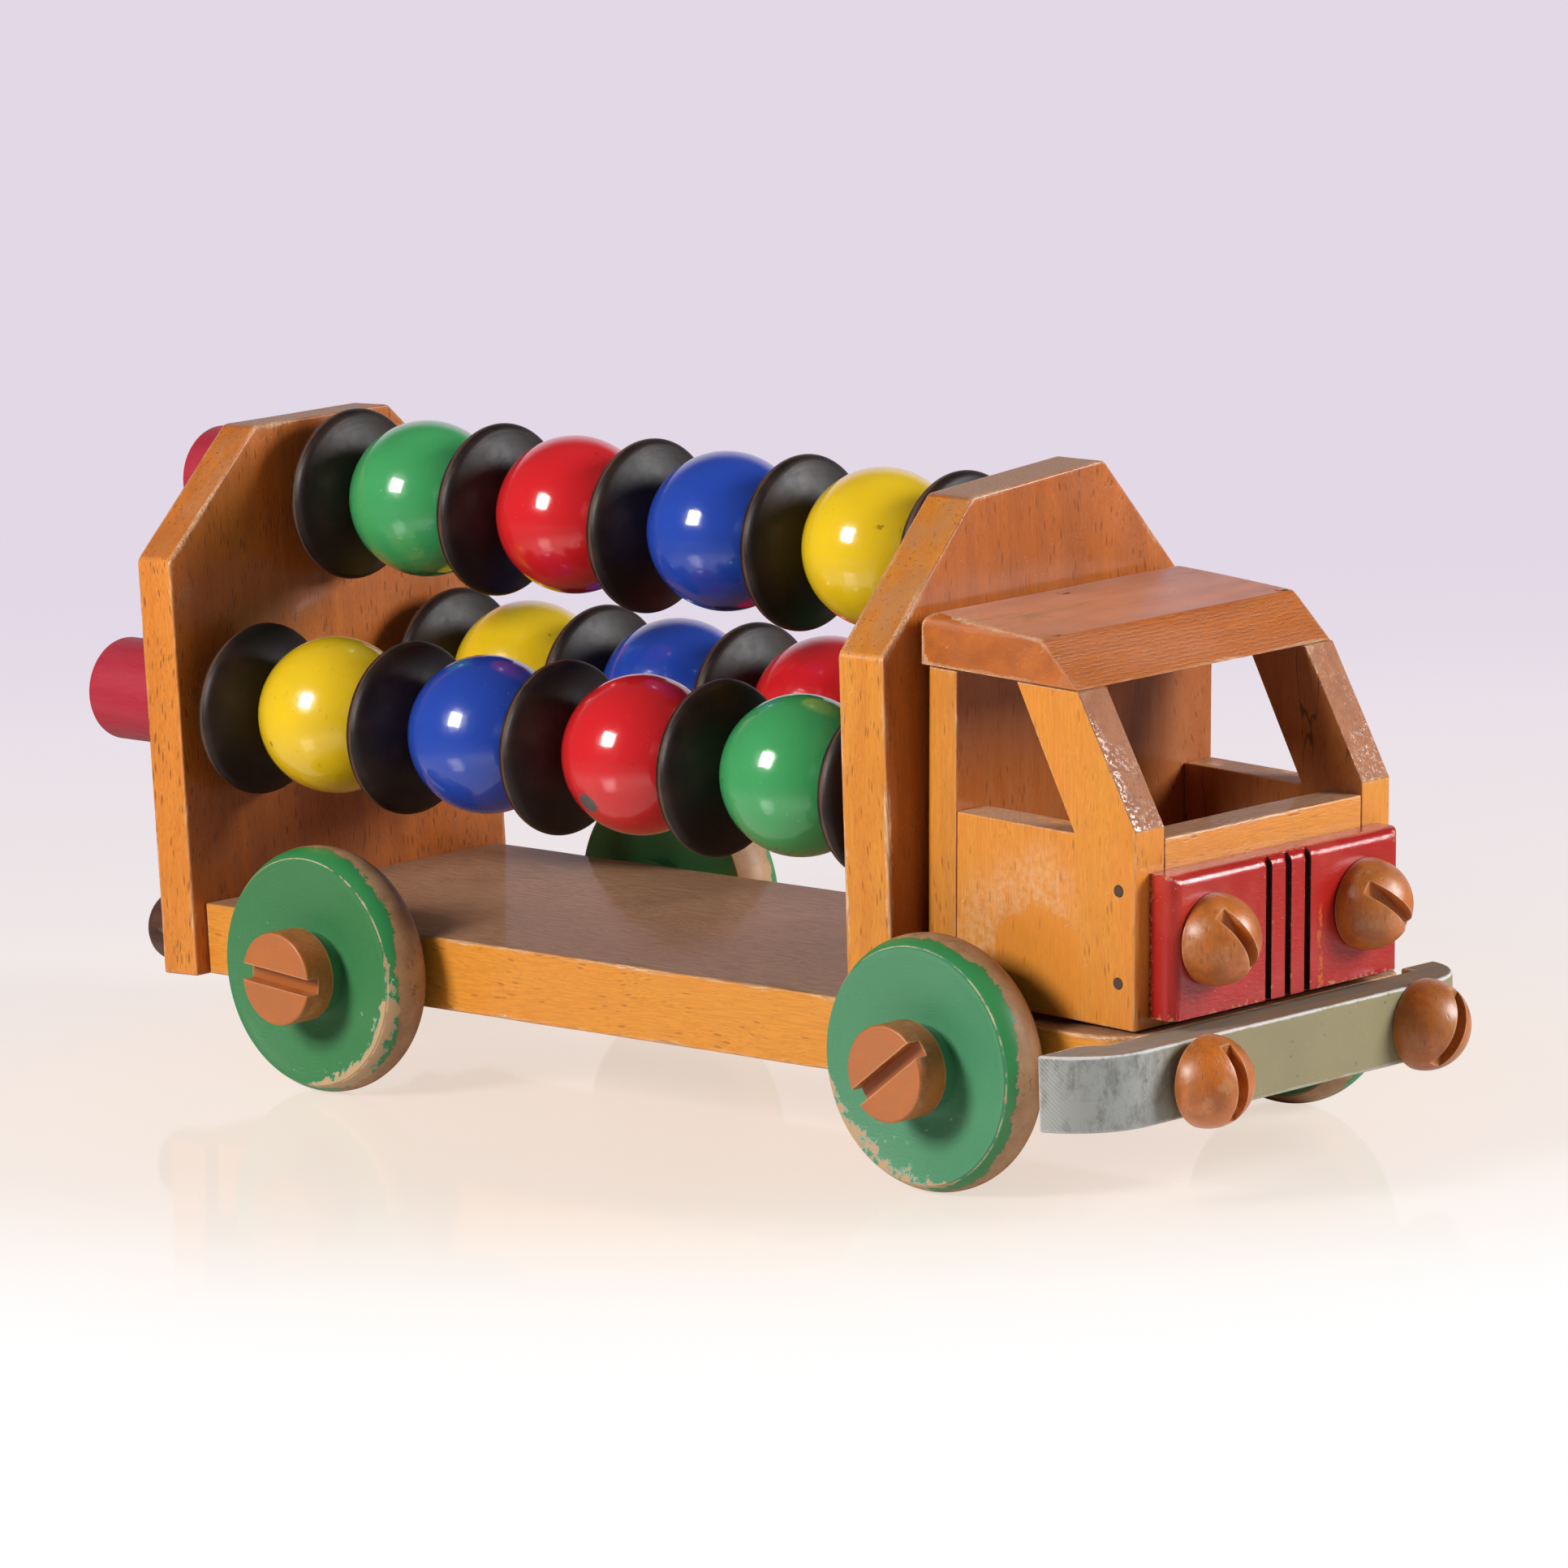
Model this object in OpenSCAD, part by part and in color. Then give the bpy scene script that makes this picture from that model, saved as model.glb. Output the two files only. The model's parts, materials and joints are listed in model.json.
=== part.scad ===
// Wooden toy truck that carries three rows of turning beads between two upright boards.
// Millimetres. +X is forward, +Z is up, and the floor is z = 0 below the middle of the truck.

/* [Bed] */
// Width of the bed board
bed_width = 105.5; // [96:0.5:116]
// Thickness of the bed board
bed_thickness = 18.5; // [16:0.5:24]
// Radius of the bed's two front corners, seen from above
bed_corner_radius = 9; // [5:0.5:14]

/* [Upright boards] */
// Width of the tailboard and the bulkhead
board_width = 114; // [110:1:126]
// Width of the level crown between the two sloping shoulders
crown_width = 47.5; // [38:0.5:60]
// Rounding of the boards' shoulder corners
board_corner_radius = 3; // [1:0.5:6]
// Height of the tailboard from its foot
tailboard_height = 138; // [134:1:150]
// Height at which the tailboard's shoulders start, from its foot
tailboard_shoulder = 107; // [98:1:114]
// Thickness of the tailboard
tailboard_thickness = 12.3; // [10:0.1:16]
// Backward lean of the tailboard, in degrees
tailboard_lean = 2.3; // [0:0.1:4]
// Height of the bulkhead above the bed
bulkhead_height = 121.7; // [117:0.1:132]
// Height at which the bulkhead's shoulders start, above the bed
bulkhead_shoulder = 85.2; // [78:0.1:92]
// Thickness of the bulkhead
bulkhead_thickness = 15; // [12:0.5:18]
// How much lower the right end of the bulkhead's crown is than its left end
bulkhead_crown_fall = 3.4; // [0:0.1:5]

/* [Bead rods] */
// Diameter of the rods
rod_diameter = 8; // [6:0.5:10]
// Height of the two lower rods above the bed
lower_rod_height = 49.2; // [46:0.1:52]
// Height of the upper rod above the bed
upper_rod_height = 100.4; // [97:0.1:104]
// Distance between the two lower rods
lower_rod_spacing = 69.8; // [64:0.1:76]
// Diameter of the red rod heads
rod_head_diameter = 26.4; // [20:0.1:28]
// Length of the upper rod's head
upper_head_length = 28.2; // [20:0.1:36]
// Length of the two lower rods' heads
lower_head_length = 31.5; // [20:0.1:36]
// Rounding of the rod heads' outer rim
rod_head_rounding = 2; // [0.5:0.5:4]
// Depth of the rods' seats in the bulkhead
rod_seat_depth = 12; // [8:0.5:13]
// Radial clearance of a rod in the two boards
rod_clearance = 0.1; // [0.05:0.01:0.3]

/* [Beads] */
// Diameter of the coloured balls
ball_diameter = 40; // [34:0.1:44]
// Diameter of the dark discs
disc_diameter = 44; // [36:0.1:52]
// Thickness of a disc at its middle
disc_thickness = 12; // [8:0.1:16]
// Rounding of the discs' rim
disc_rim_radius = 2.6; // [1.5:0.1:4]
// Radial clearance of a ball on its rod
ball_clearance = 0.4; // [0.2:0.1:1]
// How far the discs hang below the rods, because their holes are loose
disc_drop = 0.8; // [0:0.1:1]
// Least clearance between a rod and a disc's loose hole
disc_clearance = 0.35; // [0.3:0.05:0.6]
// Play along the rod for each ball and its disc, in the upper row
upper_row_play = 0.9; // [0.6:0.1:2]
// The same in the lower right row
right_row_play = 2; // [0.6:0.1:3]
// The same in the lower left row
left_row_play = 1.2; // [0.6:0.1:3]
// Gap between the longest row's last disc and the bulkhead
row_end_gap = 1; // [0.5:0.1:4]
// Number of balls in a row; a disc stands before and after each of them
balls_per_row = 4; // [2:1:4]

/* [Wheels] */
// Diameter of the wheels over the middle of their tread
wheel_diameter = 62.5; // [56:0.5:72]
// Width of the wheels
wheel_width = 13.8; // [12:0.1:18]
// Distance from the wheels' outer face to the widest line of the tread
tread_crown_inset = 7; // [5:0.1:8]
// Radius of the tread across its width
tread_radius = 10.6; // [9.8:0.1:14]
// Depth of the hollow in the outer face of the wheels
dish_depth = 3.2; // [1:0.1:5]
// Diameter of the level middle of that hollow
dish_floor_diameter = 26; // [25:0.5:32]
// Height of the outer hub boss, in the middle of the hollow, above the wheel's rim
hub_rise = 1.6; // [0.5:0.1:3]
// Gap between the boards' sides and the wheels' inner face
wheel_board_gap = 0.5; // [0.4:0.1:3]
// Diameter of the hub bosses on the wheels' two faces
hub_boss_diameter = 20; // [16:0.5:26]
// Gap that lets a wheel turn between the bed and the bolt's head
wheel_end_clearance = 0.3; // [0.2:0.1:0.6]
// Distance from the bed's rear end to the rear axle
rear_axle = 55.2; // [50:0.1:64]
// Distance between the axles
wheelbase = 207.7; // [198:0.1:214]
// Diameter of the wheel bolts' shanks
bolt_diameter = 10; // [8:0.5:12]
// Radial running clearance of a wheel on its bolt
wheel_clearance = 0.08; // [0.05:0.01:0.1]
// Diameter of the wheel bolts' heads
bolt_head_diameter = 23.7; // [20:0.1:25]
// Length of the wheel bolts' heads
bolt_head_length = 9; // [7:0.1:12]
// Depth of the wheel bolts in the bed
bolt_seat_depth = 25; // [18:0.5:30]
// Width of the driver slot in the wheel bolts
bolt_slot_width = 4.2; // [3:0.1:5]
// Depth of the driver slot in the wheel bolts
bolt_slot_depth = 3.8; // [2:0.1:6]

/* [Cab] */
// Width of the cab over its sides
cab_width = 93; // [86:0.5:98]
// Length of the cab along its sills
cab_length = 67.6; // [60:0.1:76]
// Distance from the bed's front end back to the cab
cab_setback = 2.2; // [2:0.1:4]
// Gap between the bulkhead and the cab's rear foot
cab_rear_gap = 0.3; // [0.3:0.1:2]
// Gap between the bed and the cab's front foot
cab_seat_gap = 0.4; // [0.1:0.1:0.8]
// Forward pitch of the whole cab, in degrees
cab_pitch = 2.3; // [0:0.1:3]
// Thickness of the cab's side panels
side_thickness = 10.6; // [8:0.1:12]
// Thickness of the cab's back panel
back_thickness = 10.6; // [8:0.1:13]
// Rounding of the back panel's two rear edges
back_edge_radius = 3; // [1:0.5:5]
// Thickness of the cowl panel under the windscreen
cowl_thickness = 10.5; // [8:0.1:13]
// Height of the window sills above the cab's foot
sill_height = 45.5; // [42:0.1:50]
// Height of the cowl panel
cowl_height = 45.3; // [41:0.1:48]
// Height at which the windscreen pillars start to slope back
pillar_foot_height = 48.2; // [45:0.1:54]
// Height of the roof's underside above the cab's foot
roof_height = 79.5; // [74:0.1:86]
// Distance from the cab's front to the top of the pillars' front edge
pillar_top_inset = 18.4; // [14:0.1:22]
// Distance from the cab's front to the window's lower front corner
window_foot_inset = 19.7; // [16:0.1:23]
// Distance from the cab's front to the window's upper front corner
window_top_inset = 38.2; // [36:0.1:42]

/* [Roof] */
// How much narrower the roof is than the cab
roof_inset = 1; // [0:0.1:3]
// How far the roof reaches behind the back panel
roof_overhang = 1.4; // [0:0.1:1.8]
// Thickness of the roof at its rear
roof_rear_thickness = 13; // [10:0.1:16]
// Thickness of the roof where its front slope starts
roof_front_thickness = 10.9; // [8:0.1:14]
// Distance from the cab's front to the roof's lower front edge
roof_lip_inset = 18.9; // [14:0.1:22]
// Distance from the cab's front to the top of the roof's slope
roof_break_inset = 30.9; // [26:0.1:31]
// Rounding of the roof's rear and side edges
roof_rounding = 3.5; // [1:0.5:5]

/* [Grille plate] */
// Width of the grille plate
grille_width = 83; // [74:0.5:90]
// Height of the grille plate
grille_height = 35.2; // [31:0.1:37]
// Height of its lower edge above the cab's foot
grille_foot = 2.6; // [1:0.1:6]
// Thickness of the grille plate
grille_thickness = 7.9; // [6:0.1:9]
// Rounding of the plate's upper and side edges
grille_rounding = 3; // [1:0.5:5]
// Distance between the three upright grooves
groove_pitch = 7.1; // [5:0.1:9]
// Width of the grooves
groove_width = 1.8; // [1:0.1:2.5]
// Depth of the grooves
groove_depth = 1.8; // [1:0.1:3]

/* [Bumper] */
// Length of the bumper
bumper_length = 145; // [138:0.5:160]
// Depth of the bumper from front to back
bumper_depth = 17; // [14:0.5:20]
// Depth of the bumper in front of the bed
bumper_nose = 12.8; // [10:0.1:13.5]
// Radius of the bumper's two front ends, seen from above
bumper_end_radius = 20.5; // [17:0.5:26]
// How far the bumper is shifted to the truck's right
bumper_shift = 6.5; // [0:0.5:8]
// Gap between the bed's left side and the rebate that takes the bed's front end
rebate_gap = 0.5; // [0.3:0.1:3]
// How far the rebate's right wall slants inwards
rebate_slant = 4; // [0:0.5:6]

/* [Wooden screws] */
// Diameter of the domed screw heads
dome_diameter = 22.4; // [18:0.1:25]
// Height of the straight foot under each dome
dome_foot = 0.6; // [0.2:0.1:2]
// Diameter of the wooden screws' shanks
screw_diameter = 8; // [6:0.5:10]
// Radial clearance of the shanks in their seats
screw_clearance = 0.05; // [0.02:0.01:0.1]
// Depth of the bumper and tail screws in the bed
screw_seat_depth = 20; // [14:0.5:26]
// Depth of the headlight screws in the cowl panel
headlight_seat_depth = 8.5; // [5:0.5:9]
// Width of the slot in the domed heads
dome_slot_width = 3.6; // [2.5:0.1:5]
// Height of the slot's floor above the base of the dome
dome_slot_floor = 6.5; // [3:0.1:8]
// Distance from each end of the grille plate to its headlight screw
headlight_inset = 13.7; // [12:0.1:18]
// Height of the headlight screws above the cab's foot
headlight_height = 21; // [18:0.1:24]
// Distance between the two bumper screws
bumper_screw_spacing = 82.4; // [70:0.1:88]
// How far the bumper screws lie below the middle of the bed
bumper_screw_fall = 0.7; // [0:0.1:2]
// How far the bumper's right screw is backed out
backed_out_screw = 2.4; // [0:0.1:4]
// Distance between the two tail screws
tail_screw_spacing = 88; // [80:0.5:90]
// Diameter of the tail screws' heads
tail_head_diameter = 18; // [14:0.5:20]
// Height of the tail screws' heads
tail_head_height = 10.5; // [7:0.5:12]

/* [Nails] */
// Diameter of the nails
nail_diameter = 1.8; // [1.2:0.1:2.4]
// Diameter of the nail heads
nail_head_diameter = 2.8; // [2.5:0.1:3.6]
// Thickness of the nail heads
nail_head_thickness = 0.6; // [0.4:0.1:1]
// Length of the nails in the cab's sides
side_nail_length = 26; // [20:1:28]
// Length of the nails in the roof
roof_nail_length = 18; // [15:1:18]
// Length of the nails that come up through the bed
bed_nail_length = 31; // [28:1:34]
// Clearance round the nails and their heads
nail_clearance = 0.05; // [0.02:0.01:0.1]
// Height of the lower nail in each side of the cab
side_nail_low = 11.1; // [7:0.1:13]
// Height of the upper nail in each side of the cab
side_nail_high = 33.4; // [30:0.1:40]
// Distance from the cab's front to the front roof nails
roof_nail_inset = 32.6; // [31.5:0.1:34]
// How far the front roof nails stray to the truck's left of the pillars' middle
roof_nail_stray = 2.2; // [-3:0.1:3]
// How far the roof's rear nail strays to the truck's right of the middle
rear_nail_stray = 2.8; // [-20:0.1:20]

/* [Hidden] */
$fn = 96;
FINE = 144;
ROWS = ["upper", "right", "left"];
WHEELS = ["rear_right", "rear_left", "front_right", "front_left"];
BALL_COLOURS = [
    ["green", "red", "blue", "yellow"],
    ["yellow", "blue", "red", "green"],
    ["yellow", "blue", "red", "green"]
];
PAINT = [
    ["green", [0.10, 0.42, 0.20]], ["red", [0.78, 0.08, 0.08]],
    ["blue", [0.10, 0.22, 0.62]], ["yellow", [0.90, 0.72, 0.08]]
];
BEECH = [0.78, 0.47, 0.18];
BEECH_WORN = [0.55, 0.40, 0.30];
DARK_BEAD = [0.10, 0.07, 0.07];
RED_HEAD = [0.66, 0.09, 0.16];
GRILLE_RED = [0.62, 0.10, 0.10];
BUMPER_GREY = [0.52, 0.52, 0.42];
WHEEL_GREEN = [0.16, 0.45, 0.26];
SCREW_BROWN = [0.62, 0.33, 0.14];
STAIN_BROWN = [0.20, 0.11, 0.07];
STEEL = [0.25, 0.22, 0.20];

// Overshoot of a cut past the face that it opens
past = 1;
// Gap between a screw or rod head and the face that it is tightened against
head_gap = 0.2;

wheel_radius = wheel_diameter / 2;
bed_middle = wheel_radius;
bed_bottom = bed_middle - bed_thickness / 2;
bed_top = bed_middle + bed_thickness / 2;
lean_slope = tan(tailboard_lean);
dome_radius = dome_diameter / 2;
dome_height = dome_foot + dome_radius;
headlight_spacing = grille_width - 2 * headlight_inset;
lower_rod_z = bed_top + lower_rod_height;
row_y = [0, -lower_rod_spacing / 2, lower_rod_spacing / 2];
row_z = [bed_top + upper_rod_height, lower_rod_z, lower_rod_z];
row_play = [upper_row_play, right_row_play, left_row_play];
row_pitch = [for (play = row_play) ball_diameter + disc_thickness + play];
head_length = [upper_head_length, lower_head_length, lower_head_length];

// Distance from the bed's rear end back to a height on the tailboard's rear face
function tail_rear(z) = (z - bed_bottom) * lean_slope + tailboard_thickness / cos(tailboard_lean);

// Distances from the bed's rear end along the truck
first_ball = disc_thickness + ball_diameter / 2;
cargo_length = disc_thickness + max([for (row = [0:2]) balls_per_row * row_pitch[row] - row_play[row] / 2])
    + row_end_gap;
bed_length = cargo_length + bulkhead_thickness + cab_rear_gap + cab_length * cos(cab_pitch) + cab_setback;
head_offset = [for (z = row_z) tail_rear(z + rod_head_diameter / 2) + head_gap];
rear_reach = max(head_offset + head_length);
front_reach = bed_length + bumper_nose + head_gap + backed_out_screw + dome_height;

// The truck's whole length is centred on x = 0
bed_rear = (rear_reach - front_reach) / 2;
bed_front = bed_rear + bed_length;
bulkhead_rear = bed_rear + cargo_length;
bulkhead_front = bulkhead_rear + bulkhead_thickness;
bumper_front = bed_front + bumper_nose;
bumper_rear = bumper_front - bumper_depth;
rod_tip = bulkhead_rear + rod_seat_depth - head_gap;
cab_front = bed_front - cab_setback;
cab_foot = bed_top + cab_seat_gap;
axle_x = [bed_rear + rear_axle, bed_rear + rear_axle + wheelbase];
wheel_standoff = (board_width - bed_width) / 2 + wheel_board_gap;
bolt_head_seat = wheel_standoff + wheel_width + hub_rise + wheel_end_clearance;
cab_inner = cab_width / 2 - side_thickness;
side_middle = cab_width / 2 - side_thickness / 2;
bumper_screw_z = bed_middle - bumper_screw_fall;
face_radius = wheel_radius - tread_radius + sqrt(pow(tread_radius, 2) - pow(tread_crown_inset, 2));

// Turn of each driver slot, in degrees
wheel_slot_angles = [-5, 12, 36, 70];
headlight_slot_angles = [-57, -40];
bumper_slot_angles = [93, 67];
tail_slot_angles = [20, 75];

function colour(name) = PAINT[search([name], PAINT)[0]][1];
function unit(v) = v / norm(v);
function wrapped(points, i) = points[(i + len(points)) % len(points)];

// Points of the arc of radius r that rounds corner b between a and c
function corner_arc(a, b, c, r, steps = 6) =
    let (
        to_a = unit(a - b),
        to_c = unit(c - b),
        half = acos(to_a * to_c) / 2,
        centre = b + unit(to_a + to_c) * r / sin(half),
        from = b + to_a * r / tan(half) - centre,
        to = b + to_c * r / tan(half) - centre,
        start = atan2(from.y, from.x),
        turn = atan2(to.y, to.x) - start,
        sweep = turn > 180 ? turn - 360 : turn < -180 ? turn + 360 : turn
    )
    [for (i = [0:steps]) centre + r * [cos(start + sweep * i / steps), sin(start + sweep * i / steps)]];

// An outline whose corners [x, y, r] are rounded by their own radius
function rounded(corners) =
    let (points = [for (c = corners) [c[0], c[1]]])
    [
        for (i = [0:len(corners) - 1])
            each corners[i][2] == 0
                ? [points[i]]
                : corner_arc(wrapped(points, i - 1), points[i], wrapped(points, i + 1), corners[i][2])
    ];

// Outline of an upright board, with a level foot, upright sides and sloping shoulders
function board_outline(height, shoulder, crown_fall) =
    let (half = board_width / 2, crown = crown_width / 2, r = board_corner_radius)
    rounded([
        [-half, 0, 0], [half, 0, 0], [half, shoulder, r],
        [crown, height + crown_fall / 2, r], [-crown, height - crown_fall / 2, r], [-half, shoulder, r]
    ]);

// A profile given as [y, z] points, pushed along +X
module extrude_x(length) {
    rotate([90, 0, 90]) linear_extrude(length) children();
}

// A profile given as [x, z] points, pushed along Y and centred on y
module extrude_y(width, y = 0) {
    translate([0, y + width / 2, 0]) rotate([90, 0, 0]) linear_extrude(width) children();
}

module cylinder_x(x, y, z, length, radius) {
    translate([x, y, z]) rotate([0, 90, 0]) cylinder(h = length, r = radius);
}

// Places a child that is drawn in the cab's own square frame
module in_cab() {
    translate([cab_front, 0, cab_foot]) rotate([0, cab_pitch, 0]) children();
}

// Places a child on the side of the bed, with its own z axis pointing outwards
module at_axle(i) {
    side = i % 2 == 0 ? -1 : 1;
    x = axle_x[floor(i / 2)];
    translate([x, side * bed_width / 2, bed_middle]) rotate([-90 * side, 0, 0]) children();
}

module on_tailboard() {
    translate([bed_rear, 0, bed_bottom]) rotate([0, -tailboard_lean, 0]) children();
}

// The seats of the three rods in both boards
module rod_seats() {
    for (row = [0:2])
        cylinder_x(bed_rear - rear_reach, row_y[row], row_z[row], rod_tip + head_gap - bed_rear + rear_reach,
            rod_diameter / 2 + rod_clearance);
}

module tail_screw_seats() {
    for (side = [-1, 1])
        cylinder_x(bed_rear - rear_reach, side * tail_screw_spacing / 2, bed_middle,
            rear_reach + screw_seat_depth + head_gap, screw_diameter / 2 + screw_clearance);
}

module bumper_screw_seats() {
    for (side = [-1, 1])
        cylinder_x(bed_front - screw_seat_depth - head_gap, side * bumper_screw_spacing / 2, bumper_screw_z,
            screw_seat_depth + bumper_depth, screw_diameter / 2 + screw_clearance);
}

module headlight_seats() {
    for (side = [-1, 1])
        cylinder_x(-headlight_seat_depth - head_gap, side * headlight_spacing / 2, headlight_height,
            headlight_seat_depth + grille_thickness + 2 * past, screw_diameter / 2 + screw_clearance);
}

// A nail along -Z with its head's top at the origin; grow makes the hole that takes it
module nail(length, grow = 0) {
    translate([0, 0, -nail_head_thickness - grow])
        cylinder(h = nail_head_thickness + grow * 3, r = nail_head_diameter / 2 + grow, $fn = 48);
    translate([0, 0, -length - grow]) cylinder(h = length, r = nail_diameter / 2 + grow, $fn = 48);
}

// Nails up through the bed into the bulkhead
module bulkhead_nails(grow = 0) {
    for (y = [-1, 0, 1] * board_width / 3)
        translate([bulkhead_rear + bulkhead_thickness / 2, y, bed_bottom])
            rotate([180, 0, 0]) nail(bed_nail_length, grow);
}

// Nails up through the bed into the cab's back panel and sides
module cab_floor_nails(grow = 0) {
    back_x = cab_front - cab_length + back_thickness / 2;
    side_x = cab_front - cab_length / 3;
    for (place = [[back_x, -1, cab_inner / 2], [back_x, 1, cab_inner / 2], [side_x, -1, side_middle],
                  [side_x, 1, side_middle]])
        translate([place[0], place[1] * place[2], bed_bottom])
            rotate([180, 0, 0]) nail(bed_nail_length, grow);
}

// Nails through the cab's sides into the ends of the cowl panel, in the cab's frame
module side_nails_in_cab(grow = 0) {
    for (side = [-1, 1], z = [side_nail_low, side_nail_high])
        translate([-cowl_thickness / 2, side * cab_width / 2, z])
            rotate([-90 * side, 0, 0]) nail(side_nail_length, grow);
}

// Nails down through the roof into the pillars and the back panel, in the cab's frame
module roof_nails_in_cab(grow = 0) {
    roof_fall = (roof_rear_thickness - roof_front_thickness) / (cab_length + roof_overhang - roof_break_inset);
    back_x = -cab_length + back_thickness / 2;
    for (place = [[-roof_nail_inset, roof_nail_stray - side_middle],
                  [-roof_nail_inset, roof_nail_stray + side_middle], [back_x, -rear_nail_stray]])
        translate([place[0], place[1],
            roof_height + roof_front_thickness - (place[0] + roof_break_inset) * roof_fall - nail_head_thickness / 4])
            nail(roof_nail_length, grow);
}

module bed() {
    slope_cut = bed_thickness * 2;
    color(BEECH_WORN) difference() {
        translate([0, 0, bed_bottom]) linear_extrude(bed_thickness) polygon(rounded([
            [bed_rear - slope_cut / 2, -bed_width / 2, 0],
            [bed_front, -bed_width / 2, bed_corner_radius],
            [bed_front, bed_width / 2, bed_corner_radius],
            [bed_rear - slope_cut / 2, bed_width / 2, 0]
        ]));
        on_tailboard() translate([-slope_cut, -bed_width, -slope_cut])
            cube([slope_cut, bed_width * 2, slope_cut * 3]);
        for (i = [0:3]) at_axle(i) translate([0, 0, -bolt_seat_depth - head_gap])
            cylinder(h = bolt_seat_depth + past * 2, r = bolt_diameter / 2 + screw_clearance);
        tail_screw_seats();
        bumper_screw_seats();
        bulkhead_nails(nail_clearance);
        cab_floor_nails(nail_clearance);
    }
}

module tailboard() {
    color(BEECH) difference() {
        on_tailboard() translate([-tailboard_thickness, 0, 0]) extrude_x(tailboard_thickness)
            polygon(board_outline(tailboard_height, tailboard_shoulder, 0));
        rod_seats();
        tail_screw_seats();
    }
}

module bulkhead() {
    color(BEECH) difference() {
        translate([bulkhead_rear, 0, bed_top]) extrude_x(bulkhead_thickness)
            polygon(board_outline(bulkhead_height, bulkhead_shoulder, bulkhead_crown_fall));
        rod_seats();
        bulkhead_nails(nail_clearance);
    }
}

// A rod with its red head in one piece, turned from one blank
module bead_rod(row) {
    r = rod_head_diameter / 2;
    face = bed_rear - head_offset[row];
    color(RED_HEAD) translate([face, row_y[row], row_z[row]]) rotate([0, -90, 0])
        rotate_extrude($fn = FINE) polygon(rounded([
            [0, 0, 0], [r, 0, 0], [r, head_length[row], rod_head_rounding], [0, head_length[row], 0]
        ]));
    color(BEECH) cylinder_x(face, row_y[row], row_z[row], rod_tip - face, rod_diameter / 2);
}

module ball(row, i, name) {
    x = bed_rear + first_ball + i * row_pitch[row];
    color(colour(name)) translate([x, row_y[row], row_z[row]]) difference() {
        sphere(d = ball_diameter, $fn = FINE);
        cylinder_x(-ball_diameter, 0, 0, ball_diameter * 2, rod_diameter / 2 + ball_clearance);
    }
}

// Half of a disc's outline from its bore to the middle of its rim, as [radius, height]
function disc_half_outline(steps = 10) =
    let (
        bore = rod_diameter / 2 + disc_drop + disc_clearance,
        shoulder = disc_diameter / 2 - disc_rim_radius,
        crown = disc_thickness / 2 - disc_rim_radius
    )
    concat(
        [for (i = [0:steps]) let (r = bore + (shoulder - bore) * i / steps)
            [r, disc_rim_radius + crown * (1 - pow((r - bore) / (shoulder - bore), 2))]],
        [for (i = [1:steps - 1]) shoulder * [1, 0]
            + disc_rim_radius * [sin(90 * i / steps), cos(90 * i / steps)]]
    );

module disc(row, i) {
    x = bed_rear + first_ball + (i - 0.5) * row_pitch[row];
    half = disc_half_outline();
    mirrored = [for (k = [len(half) - 1:-1:0]) [half[k].x, -half[k].y]];
    color(DARK_BEAD) translate([x, row_y[row], row_z[row] - disc_drop]) rotate([0, 90, 0])
        rotate_extrude($fn = FINE) polygon(concat(half, [[disc_diameter / 2, 0]], mirrored));
}

// A wheel with its inner face on the bed's side, plus the standoff
module wheel(i) {
    hub = dish_floor_diameter / 2;
    boss = hub_boss_diameter / 2;
    bore = bolt_diameter / 2 + wheel_clearance;
    crown = wheel_width - tread_crown_inset;
    inner_rim = wheel_radius - tread_radius + sqrt(pow(tread_radius, 2) - pow(crown, 2));
    tread_steps = 16;
    low = -asin(crown / tread_radius);
    high = asin(tread_crown_inset / tread_radius);
    tread = [for (k = [1:tread_steps - 1]) let (a = low + (high - low) * k / tread_steps)
        [wheel_radius - tread_radius + tread_radius * cos(a), crown + tread_radius * sin(a)]];
    color(WHEEL_GREEN) at_axle(i) translate([0, 0, wheel_standoff]) rotate_extrude($fn = FINE)
        polygon(concat(
            [[bore, -wheel_standoff + wheel_end_clearance], [boss, -wheel_standoff + wheel_end_clearance],
             [boss, 0], [inner_rim, 0]],
            tread,
            [[face_radius, wheel_width], [hub, wheel_width - dish_depth], [boss, wheel_width - dish_depth],
             [boss, wheel_width + hub_rise], [bore, wheel_width + hub_rise]]
        ));
}

module wheel_bolt(i) {
    color(SCREW_BROWN) at_axle(i) {
        translate([0, 0, -bolt_seat_depth]) cylinder(h = bolt_seat_depth + bolt_head_seat + past,
            d = bolt_diameter);
        translate([0, 0, bolt_head_seat]) difference() {
            cylinder(h = bolt_head_length, d = bolt_head_diameter);
            translate([0, 0, bolt_head_length - bolt_slot_depth]) rotate(wheel_slot_angles[i])
                translate([-bolt_head_diameter, -bolt_slot_width / 2, 0])
                    cube([bolt_head_diameter * 2, bolt_slot_width, bolt_slot_depth * 2]);
        }
    }
}

// A domed wooden screw pointing along +X, with the base of its head at the origin
module domed_screw(shank, slot_angle) {
    cylinder_x(-shank, 0, 0, shank + past, screw_diameter / 2);
    difference() {
        union() {
            cylinder_x(0, 0, 0, dome_foot, dome_radius);
            translate([dome_foot, 0, 0]) intersection() {
                sphere(r = dome_radius);
                translate([0, -dome_diameter, -dome_diameter])
                    cube([dome_diameter, dome_diameter * 2, dome_diameter * 2]);
            }
        }
        translate([dome_slot_floor, 0, 0]) rotate([slot_angle, 0, 0])
            translate([0, -dome_diameter, -dome_slot_width / 2])
                cube([dome_diameter, dome_diameter * 2, dome_slot_width]);
    }
}

module headlight_screw(side) {
    color(SCREW_BROWN) in_cab()
        translate([grille_thickness + head_gap, side * headlight_spacing / 2, headlight_height])
            domed_screw(grille_thickness + headlight_seat_depth,
                headlight_slot_angles[side < 0 ? 0 : 1]);
}

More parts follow.
